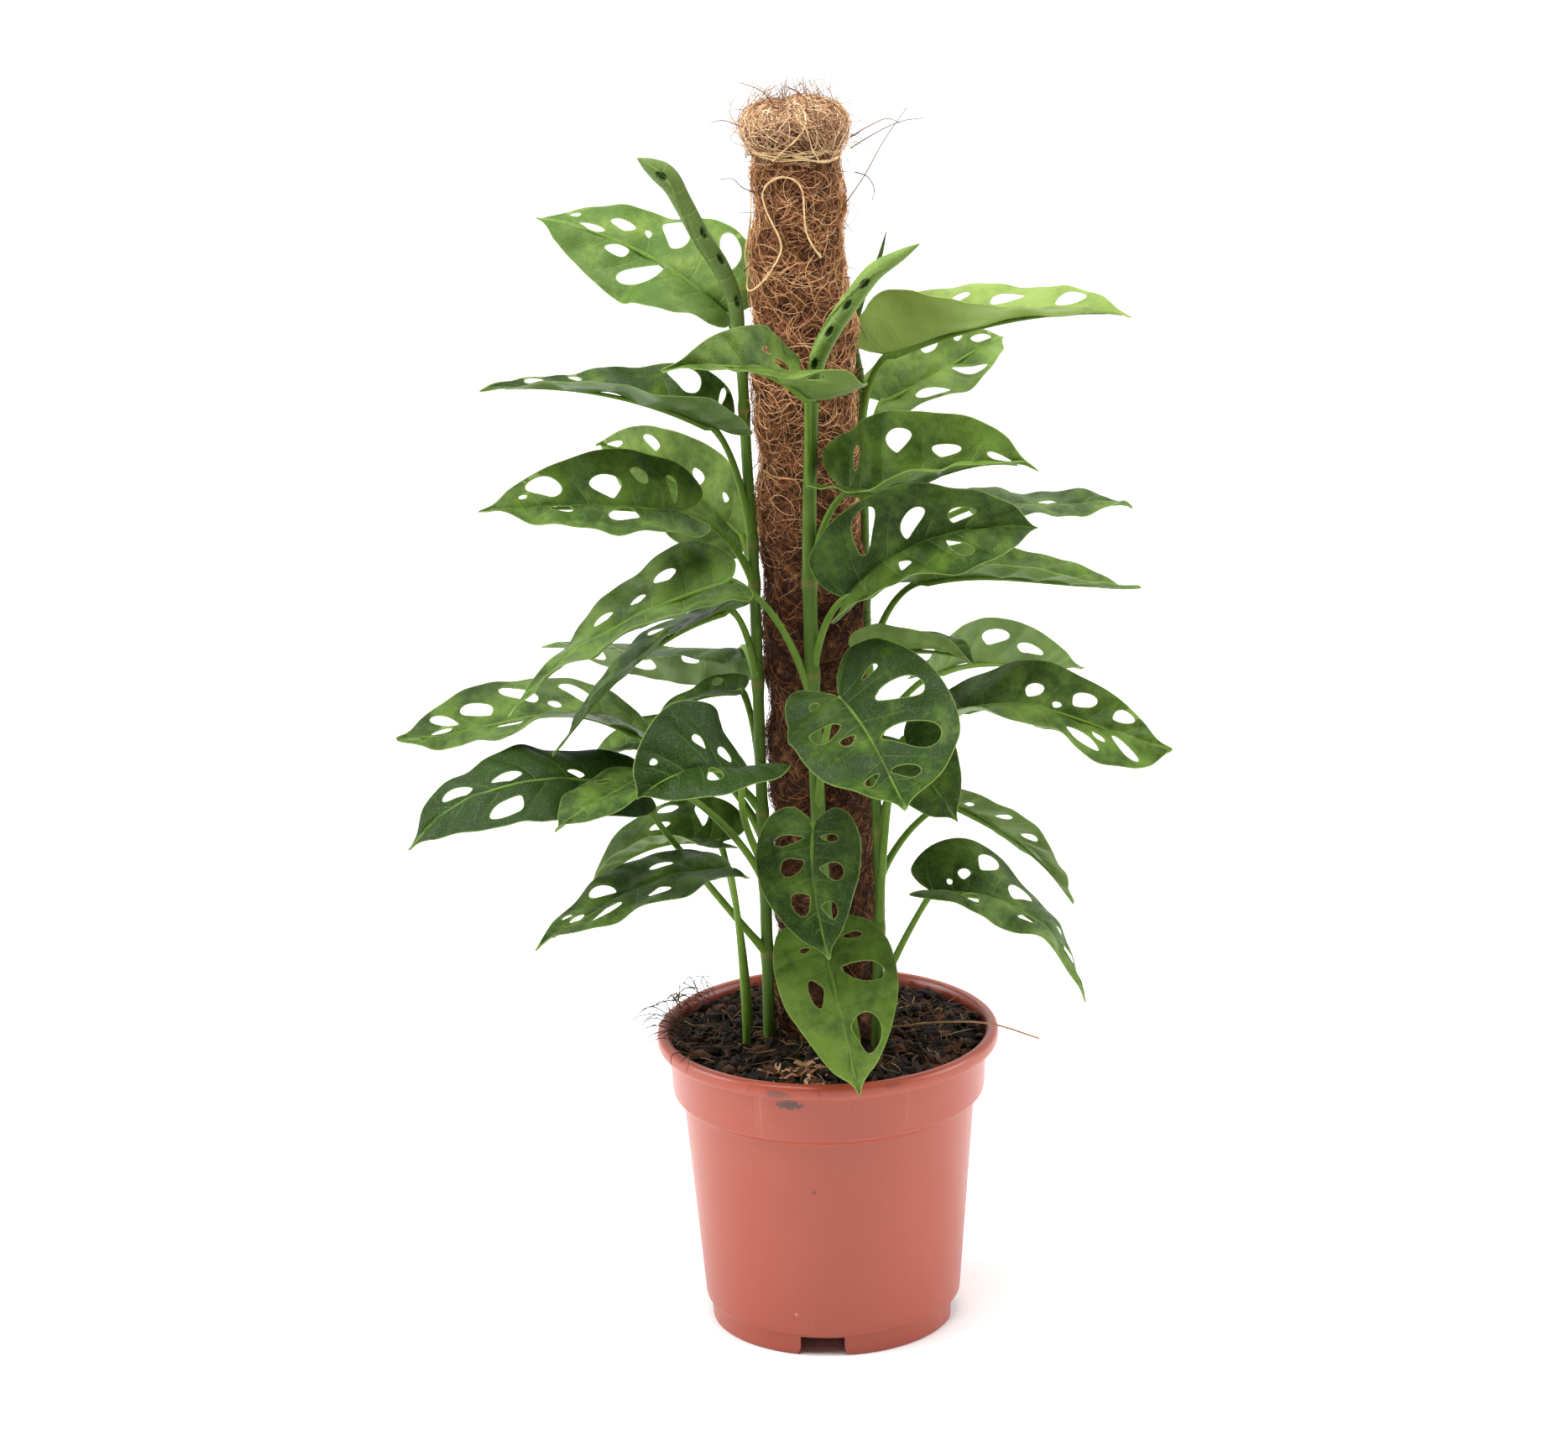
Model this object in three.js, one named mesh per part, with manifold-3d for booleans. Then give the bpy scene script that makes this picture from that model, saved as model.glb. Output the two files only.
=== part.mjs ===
// Monstera adansonii climbing a coir pole, in its 17 cm nursery pot.
// Millimetres, +Z up. The model is laid out round the pot's axis, with the table at z = 0,
// and the whole group is then moved so that its box is centred on the origin.
import * as THREE from 'three';
import { mergeVertices } from 'three/addons/utils/BufferGeometryUtils.js';
import Module from 'manifold-3d';

const wasm = await Module();
wasm.setup();

// ---- driving dimensions ----
const SEAT = 0.3; // gap left where two pieces touch
const BOX_SHIFT = [19, -1.5, 0]; // from the pot's axis to the middle of the whole plant's box

const POT = {
  height: 152.5, rimRadius: 85, lipHeight: 8, collarRadius: 78.5, collarFoot: 120.5,
  wallTop: 72.6, wallFoot: 63.6, footStep: 12, ringRadius: 60.6, ringWall: 3.2, wall: 1.6,
  floor: 10, floorTop: 13, sides: 32,
};
const NOTCH = { count: 4, width: 22, height: 10, turn: -6 }; // drainage gaps under the foot ring
const DRAIN = { count: 6, radius: 4.5, ring: 38 }; // holes through the pot floor
const SOIL = { edge: 146, crown: 150, clod: 1.1 };
const POLE = { radius: 24.2, bulge: 1.3, pitch: 62, top: 620, foot: 60, sides: 14, rings: 16 };
const LEAN = { atTable: 3.6, perHeight: -0.0161 }; // the pole's axis in x, up its height
const CORE = { radius: 8, foot: 22, top: 604, sides: 10 };
const TWINE = { radius: 0.9, height: 598.5, sides: 4 };
const BLADE = 0.8; // leaf thickness
const PETIOLE = { foot: 2.2, top: 1.6, sides: 5, steps: 5 };
const ROOTED = 118; // depth that stems and rooted petioles reach into the soil

const COLOUR = {
  pot: 0xc1685a, soil: 0x2b1f18, coir: 0x96643f, twine: 0xc8a569, wood: 0xa88460,
  stem: 0x6f9a4c, leaf: 0x477a35, young: 0x86ad52,
};

// ---- small helpers ----
const vec = (x, y, z) => new THREE.Vector3(x, y, z);
const axisAt = (z) => LEAN.atTable + LEAN.perHeight * z;
const radians = THREE.MathUtils.degToRad;

function toSolid(geometry) {
  const bare = geometry.clone();
  bare.deleteAttribute('normal');
  bare.deleteAttribute('uv');
  const merged = mergeVertices(bare, 1e-4);
  const triVerts = [];
  const index = merged.index.array;
  for (let i = 0; i < index.length; i += 3) {
    const [a, b, c] = [index[i], index[i + 1], index[i + 2]];
    if (a !== b && b !== c && c !== a) triVerts.push(a, b, c);
  }
  return new wasm.Manifold(new wasm.Mesh({
    numProp: 3,
    vertProperties: new Float32Array(merged.attributes.position.array),
    triVerts: new Uint32Array(triVerts),
  }));
}

function toGeometry(solid) {
  const mesh = solid.getMesh();
  const geometry = new THREE.BufferGeometry();
  geometry.setAttribute('position', new THREE.BufferAttribute(new Float32Array(mesh.vertProperties), 3));
  geometry.setIndex(new THREE.BufferAttribute(new Uint32Array(mesh.triVerts), 1));
  return geometry;
}

function indexed(points, faces) {
  const geometry = new THREE.BufferGeometry();
  const flat = points.flatMap((p) => [p.x, p.y, p.z]);
  geometry.setAttribute('position', new THREE.Float32BufferAttribute(flat, 3));
  geometry.setIndex(faces.flat());
  return geometry;
}

// A closed tube along a curve, its radius a function of the way along.
function tube(curve, radiusAt, sides, steps) {
  const frames = curve.computeFrenetFrames(steps, false);
  const points = [];
  const faces = [];
  for (let i = 0; i <= steps; i++) {
    const centre = curve.getPointAt(i / steps);
    const radius = radiusAt(i / steps);
    for (let k = 0; k < sides; k++) {
      const angle = (2 * Math.PI * k) / sides;
      points.push(centre.clone()
        .addScaledVector(frames.normals[i], radius * Math.cos(angle))
        .addScaledVector(frames.binormals[i], radius * Math.sin(angle)));
    }
  }
  for (let i = 0; i < steps; i++) {
    for (let k = 0; k < sides; k++) {
      const next = (k + 1) % sides;
      const [a, b, c, d] = [i * sides + k, i * sides + next, (i + 1) * sides + next, (i + 1) * sides + k];
      faces.push([a, b, c], [a, c, d]);
    }
  }
  for (let k = 1; k < sides - 1; k++) {
    const last = steps * sides;
    faces.push([0, k + 1, k], [last, last + k, last + k + 1]);
  }
  return indexed(points, faces);
}

function upright(radius, low, high, sides) {
  return new THREE.CylinderGeometry(radius, radius, high - low, sides)
    .rotateX(Math.PI / 2).translate(0, 0, (low + high) / 2);
}

function leaning(geometry) {
  const position = geometry.attributes.position;
  for (let i = 0; i < position.count; i++) {
    position.setX(i, position.getX(i) + axisAt(position.getZ(i)));
  }
  return geometry;
}

const plant = new THREE.Group();

function add(name, geometry, colour, roughness) {
  const material = new THREE.MeshStandardMaterial({ color: colour, roughness, metalness: 0 });
  const mesh = new THREE.Mesh(geometry, material);
  mesh.name = name;
  plant.add(mesh);
}

// ---- pot: lip, collar, tapered wall, floor and notched foot ring, turned as one profile ----
function wallRadius(z) {
  return POT.wallFoot + ((POT.wallTop - POT.wallFoot) * (z - POT.footStep)) / (POT.collarFoot - POT.footStep);
}

function potGeometry() {
  const lipFoot = POT.height - POT.lipHeight;
  const { wall, floor } = POT;
  const profile = [
    [0, floor], [POT.ringRadius - POT.ringWall, floor], [POT.ringRadius - POT.ringWall, 0],
    [POT.ringRadius - 0.6, 0], [POT.ringRadius, 1], [POT.ringRadius + 0.6, POT.footStep - 1],
    [POT.wallFoot, POT.footStep], [POT.wallTop, POT.collarFoot - 3], [POT.collarRadius - 1, POT.collarFoot],
    [POT.collarRadius + 0.4, lipFoot - 1], [POT.rimRadius - 1.2, lipFoot], [POT.rimRadius, lipFoot + 2.4],
    [POT.rimRadius - 0.4, POT.height - 1.6], [POT.rimRadius - 2.4, POT.height],
    [POT.rimRadius - 5.2, POT.height - 0.4], [POT.rimRadius - 6.6, POT.height - 3],
    [POT.collarRadius - wall - 0.6, POT.collarFoot + 2], [POT.wallTop - wall, POT.collarFoot - 3],
    [wallRadius(POT.floorTop) - wall, POT.floorTop], [0, POT.floorTop],
  ].map(([r, z]) => new THREE.Vector2(r, z));
  const turned = new THREE.LatheGeometry(profile, POT.sides).rotateX(Math.PI / 2);
  let pot = toSolid(turned);
  for (let i = 0; i < NOTCH.count; i++) {
    const gap = new THREE.BoxGeometry(NOTCH.width, 3 * POT.ringWall, 2 * NOTCH.height)
      .translate(0, -POT.ringRadius, 0)
      .rotateZ(radians(NOTCH.turn) + (2 * Math.PI * i) / NOTCH.count);
    pot = pot.subtract(toSolid(gap));
  }
  for (let i = 0; i < DRAIN.count; i++) {
    const angle = (2 * Math.PI * (i + 0.5)) / DRAIN.count;
    const hole = upright(DRAIN.radius, floor - 5, floor + 8, 8)
      .translate(DRAIN.ring * Math.cos(angle), DRAIN.ring * Math.sin(angle), 0);
    pot = pot.subtract(toSolid(hole));
  }
  return toGeometry(pot);
}

// ---- coir wrap: a fibre sleeve that swells between its binding turns, with a blunt lobed top ----
function wrapRadius(z, angle) {
  const turn = Math.sin((2 * Math.PI * z) / POLE.pitch + angle) + Math.sin((2 * Math.PI * z) / POLE.pitch - angle);
  const shoulder = Math.max(0, z - (POLE.top - 22)) / 22;
  const waist = Math.exp(-(((z - TWINE.height) / 7) ** 2));
  return POLE.radius + 0.5 * POLE.bulge * turn * (1 - waist) - 2.2 * waist + 1.7 * Math.sin(Math.PI * shoulder);
}

function wrapGeometry() {
  const levels = [];
  for (let i = 0; i <= POLE.rings; i++) {
    const t = i / POLE.rings;
    levels.push(THREE.MathUtils.lerp(POLE.foot, TWINE.height - 8, t));
  }
  levels.push(TWINE.height, TWINE.height + 7, POLE.top - 7, POLE.top - 2);
  const points = [];
  const faces = [];
  for (const z of levels) {
    const rounding = z > POLE.top - 10 ? (z > POLE.top - 5 ? 0.78 : 0.96) : 1;
    for (let k = 0; k < POLE.sides; k++) {
      const angle = (2 * Math.PI * k) / POLE.sides;
      const radius = wrapRadius(z, angle) * rounding;
      points.push(vec(radius * Math.cos(angle), radius * Math.sin(angle), z));
    }
  }
  for (let i = 0; i < levels.length - 1; i++) {
    for (let k = 0; k < POLE.sides; k++) {
      const next = (k + 1) % POLE.sides;
      const [a, b] = [i * POLE.sides + k, i * POLE.sides + next];
      faces.push([a, b, b + POLE.sides], [a, b + POLE.sides, a + POLE.sides]);
    }
  }
  const bottom = points.push(vec(0, 0, POLE.foot)) - 1;
  const top = points.push(vec(0, 0, POLE.top - 1)) - 1;
  const last = (levels.length - 1) * POLE.sides;
  for (let k = 0; k < POLE.sides; k++) {
    const next = (k + 1) % POLE.sides;
    faces.push([bottom, next, k], [top, last + k, last + next]);
  }
  const sleeve = toSolid(indexed(points, faces));
  const bore = toSolid(upright(CORE.radius + SEAT, POLE.foot - 5, CORE.top + SEAT, CORE.sides));
  return leaning(toGeometry(sleeve.subtract(bore)));
}

// ---- binding twine: two turns round the wrap under its top, and its two ends down the front ----
function twineTie() {
  let rings = null;
  for (const [drop, tilt] of [[0, 1.5], [-2.4, -2.5]]) {
    const ring = new THREE.TorusGeometry(POLE.radius + 0.1, TWINE.radius, TWINE.sides, 20)
      .rotateY(radians(tilt)).translate(axisAt(TWINE.height), 0, TWINE.height + drop);
    rings = rings ? rings.add(toSolid(ring)) : toSolid(ring);
  }
  return toGeometry(rings);
}

// [angle round the pole in degrees from the front, height] along each loose end
const TWINE_LOOP = [
  [-2, 592], [-16, 590], [-36, 584], [-46, 574], [-40, 566], [-22, 567], [-12, 563],
  [-20, 557], [-44, 552], [-72, 545], [-82, 538], [-66, 533], [-34, 539],
];
const TWINE_TAIL = [[4, 591], [6, 581], [6, 572], [12, 561], [23, 551]];

function twineEnd(route, steps) {
  const points = route.map(([turn, z]) => {
    const angle = radians(turn - 90);
    const reach = wrapRadius(z, angle) + TWINE.radius + 2 * SEAT;
    return vec(axisAt(z) + reach * Math.cos(angle), reach * Math.sin(angle), z);
  });
  return tube(new THREE.CatmullRomCurve3(points), () => TWINE.radius, TWINE.sides, steps);
}

// ---- stems: vines that stand in the soil and climb close to the pole ----
const STEMS = {
  front: {
    radius: 4,
    points: [
      [5, -38, ROOTED], [3, -37, 170], [-1, -33, 235], [-3, -31.5, 300], [-4, -31.5, 400], [-2, -33, 462],
      [-1, -35.5, 483],
    ],
  },
  left: {
    radius: 3.1,
    points: [
      [-29, -11, ROOTED], [-29, -10, 200], [-30, -9, 300], [-31, -8, 400], [-33, -3, 450], [-34, 1, 500],
    ],
  },
  right: {
    radius: 3.3,
    points: [[26, 22, ROOTED], [25, 21, 230], [23, 20, 356], [23, 20, 430], [22, 20, 484]],
  },
  low: {
    radius: 3,
    points: [[23, -25, ROOTED], [25, -23, 180], [27, -22, 235], [26, -23, 275], [23, -24, 312]],
  },
};

for (const stem of Object.values(STEMS)) {
  stem.curve = new THREE.CatmullRomCurve3(stem.points.map((p) => vec(...p)));
}

const stemRadius = (stem, t) => stem.radius * (1 - 0.18 * t);

function stemGeometry(stem) {
  return tube(stem.curve, (t) => stemRadius(stem, t), 6, 22);
}

// How far along a rising curve a height is reached.
function wayTo(curve, z) {
  let [low, high] = [0, 1];
  for (let i = 0; i < 30; i++) {
    const middle = (low + high) / 2;
    if (curve.getPoint(middle).z < z) low = middle;
    else high = middle;
  }
  return low;
}

// ---- leaf blade ----
// One half of the outline, from the notch at the petiole to the tip: [along, across] in parts of
// the leaf's length and half width.
const HALF = [
  [0, 0], [-0.07, 0.2], [-0.1, 0.46], [-0.03, 0.76], [0.12, 0.96], [0.29, 1], [0.46, 0.92],
  [0.63, 0.72], [0.79, 0.45], [0.91, 0.19], [1, 0],
];
const FIRST_VEIN = 3; // outline point that the first side vein runs to
const VEIN_ROOTS = [0, 0.07, 0.19, 0.34, 0.5, 0.67, 0.83]; // where side veins leave the midrib

// Holes between two side veins: [start, end] across the half blade, and width in the panel.
const HOLES = {
  o: [0.32, 0.68, 0.5], O: [0.26, 0.78, 0.64], l: [0.18, 0.84, 0.42], s: [0.1, 0.36, 0.42],
  e: [0.5, 0.82, 0.5],
};

// A leaf lies along base to tip. roll turns it about that line from face-up; half is the width of
// its left and right half, fold how far each half rises (foldAhead, from halfway on), curl how much
// more its edge rises;
// arch is the midrib's height over the line at a third and two thirds, bow its sideways bend, and
// twist turns the blade on from base to tip. belly shifts each edge's outline towards the tip.
function bladeMap(leaf) {
  const base = vec(...leaf.base);
  const tip = vec(...leaf.tip);
  const length = base.distanceTo(tip);
  const along = tip.clone().sub(base).divideScalar(length);
  const face = vec(0, 0, 1).addScaledVector(along, -along.z).normalize();
  face.applyAxisAngle(along, radians(leaf.roll ?? 0));
  const left = face.clone().cross(along);
  const [rise1, rise2] = leaf.arch ?? [4, 4];
  const bow = leaf.bow ?? 0;
  const midrib = new THREE.CubicBezierCurve3(
    base,
    base.clone().addScaledVector(along, length / 3).addScaledVector(face, rise1).addScaledVector(left, bow),
    base.clone().addScaledVector(along, (2 * length) / 3).addScaledVector(face, rise2).addScaledVector(left, bow),
    tip,
  );
  return (x, y) => {
    const t = THREE.MathUtils.clamp(x, 0, 1);
    const slope = vec(0, 0, 0);
    const [p0, p1, p2, p3] = [midrib.v0, midrib.v1, midrib.v2, midrib.v3];
    slope.addScaledVector(p1.clone().sub(p0), 3 * (1 - t) ** 2);
    slope.addScaledVector(p2.clone().sub(p1), 6 * (1 - t) * t);
    slope.addScaledVector(p3.clone().sub(p2), 3 * t * t);
    const point = midrib.getPoint(t).addScaledVector(slope, Math.min(x, 0) * (leaf.lobe ?? 1));
    const run = slope.clone().normalize();
    const up = face.clone().addScaledVector(run, -run.dot(face)).normalize();
    up.applyAxisAngle(run, radians(leaf.twist ?? 0) * (t - 0.3));
    const out = up.clone().cross(run);
    const side = y < 0 ? 1 : 0;
    const width = leaf.half[side];
    const foldBehind = (leaf.fold ?? [15, 15])[side];
    const foldAhead = (leaf.foldAhead ?? leaf.fold ?? [15, 15])[side];
    const fold = radians(THREE.MathUtils.lerp(foldBehind, foldAhead, THREE.MathUtils.smoothstep(x, 0, 0.5)));
    const curl = radians((leaf.curl ?? [0, 0])[side]) + 1e-3;
    const across = Math.abs(y);
    const reach = (width * (Math.sin(fold + curl * across) - Math.sin(fold))) / curl;
    const lift = (width * (Math.cos(fold) - Math.cos(fold + curl * across))) / curl;
    return point.addScaledVector(out, side ? -reach : reach).addScaledVector(up, lift);
  };
}

// The blade's upper face as flat [along, across] points and triangles.
function bladePattern(leaf) {
  const points = [];
  const faces = [];
  const known = new Map();
  const place = (x, y) => {
    const key = `${x.toFixed(5)},${y.toFixed(5)}`;
    if (!known.has(key)) known.set(key, points.push([x, y]) - 1);
    return known.get(key);
  };
  for (const side of [1, -1]) {
    const half = side > 0 ? 0 : 1;
    const codes = leaf.holes[half];
    const belly = (leaf.belly ?? [0, 0])[half];
    const edge = HALF.map(([x, y]) => [x + belly * 4 * Math.max(0, x) * (1 - x), y]);
    const put = (list) => faces.push(side > 0 ? list : [list[0], list[2], list[1]]);
    const spot = (i, across) => {
      const [edgeX, edgeY] = edge[FIRST_VEIN + i];
      const x = THREE.MathUtils.lerp(VEIN_ROOTS[i], edgeX, across);
      return [x, edgeY * across];
    };
    const at = (i, across) => {
      const [x, y] = spot(i, across);
      return place(x, side * y);
    };
    const lobe = [1, 2].map((i) => place(edge[i][0], side * edge[i][1]));
    put([at(0, 0), at(0, 0.5), lobe[0]]);
    put([at(0, 0.5), lobe[1], lobe[0]]);
    put([at(0, 0.5), at(0, 1), lobe[1]]);
    for (let i = 0; i < 5; i++) {
      const rim = [at(i, 0), at(i, 0.5), at(i, 1), at(i + 1, 1), at(i + 1, 0.5), at(i + 1, 0)];
      const hole = HOLES[codes[i]];
      if (!hole) {
        put([rim[0], rim[5], rim[1]]);
        put([rim[5], rim[4], rim[1]]);
        put([rim[1], rim[4], rim[2]]);
        put([rim[4], rim[3], rim[2]]);
        continue;
      }
      const [from, to, width] = hole;
      const ring = [210, 270, 330, 30, 90, 150].map((degrees) => {
        const across = (from + to) / 2 + ((to - from) / 2) * Math.cos(radians(degrees)) * 1.15;
        const between = 0.5 + (width / 2) * Math.sin(radians(degrees));
        const [a, b] = [spot(i, across), spot(i + 1, across)];
        return place(
          THREE.MathUtils.lerp(a[0], b[0], between),
          side * THREE.MathUtils.lerp(a[1], b[1], between),
        );
      });
      for (let k = 0; k < 6; k++) {
        const next = (k + 1) % 6;
        put([rim[k], ring[next], rim[next]]);
        put([rim[k], ring[k], ring[next]]);
      }
    }
    put([at(5, 0), at(6, 0), at(5, 0.5)]);
    put([at(6, 0), at(6, 1), at(5, 0.5)]);
    put([at(5, 0.5), at(6, 1), at(5, 1)]);
    put([at(6, 0), place(1, 0), at(6, 1)]);
  }
  return { points, faces };
}

// A sheet of points and triangles given its thickness, with walls along every free edge.
function thicken(points, faces, thickness) {
  const normals = points.map(() => vec(0, 0, 0));
  const free = new Map();
  for (const [a, b, c] of faces) {
    const normal = points[b].clone().sub(points[a]).cross(points[c].clone().sub(points[a]));
    for (const i of [a, b, c]) normals[i].add(normal);
    for (const [from, to] of [[a, b], [b, c], [c, a]]) {
      if (!free.delete(`${to},${from}`)) free.set(`${from},${to}`, [from, to]);
    }
  }
  const count = points.length;
  const offset = (i, way) => points[i].clone().addScaledVector(normals[i].normalize(), (way * thickness) / 2);
  const both = [...points.map((_, i) => offset(i, 1)), ...points.map((_, i) => offset(i, -1))];
  const all = faces.flatMap(([a, b, c]) => [[a, b, c], [a + count, c + count, b + count]]);
  for (const [from, to] of free.values()) {
    all.push([from, from + count, to + count], [from, to + count, to]);
  }
  return indexed(both, all);
}

// The petiole runs from beside its stem, or from the soil, through one bend to the blade.
function petioleCurve(leaf) {
  const base = vec(...leaf.base);
  if (leaf.root) {
    const bend = vec(leaf.root[0], leaf.root[1], (ROOTED + 2 * base.z) / 3);
    return new THREE.QuadraticBezierCurve3(vec(leaf.root[0], leaf.root[1], ROOTED), bend, base);
  }
  const [name, height] = leaf.from;
  const stem = STEMS[name];
  const t = wayTo(stem.curve, height);
  const centre = stem.curve.getPoint(t);
  const bend = leaf.via ? vec(...leaf.via) : vec(
    THREE.MathUtils.lerp(centre.x, base.x, 0.35),
    THREE.MathUtils.lerp(centre.y, base.y, 0.35),
    THREE.MathUtils.lerp(centre.z, base.z, 0.8),
  );
  const way = bend.clone().sub(centre);
  const seat = stemRadius(stem, t) + (PETIOLE.foot * way.z) / way.length() + SEAT;
  const foot = centre.clone().addScaledVector(vec(way.x, way.y, 0).normalize(), seat);
  return new THREE.QuadraticBezierCurve3(foot, bend, base);
}

function leafGeometry(leaf) {
  const pattern = bladePattern(leaf);
  const map = bladeMap(leaf);
  const blade = thicken(pattern.points.map(([x, y]) => map(x, y)), pattern.faces, BLADE);
  const radiusAt = (t) => THREE.MathUtils.lerp(PETIOLE.foot, PETIOLE.top, t);
  const petiole = tube(petioleCurve(leaf), radiusAt, PETIOLE.sides, PETIOLE.steps);
  return toGeometry(toSolid(blade).add(toSolid(petiole)));
}

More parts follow.
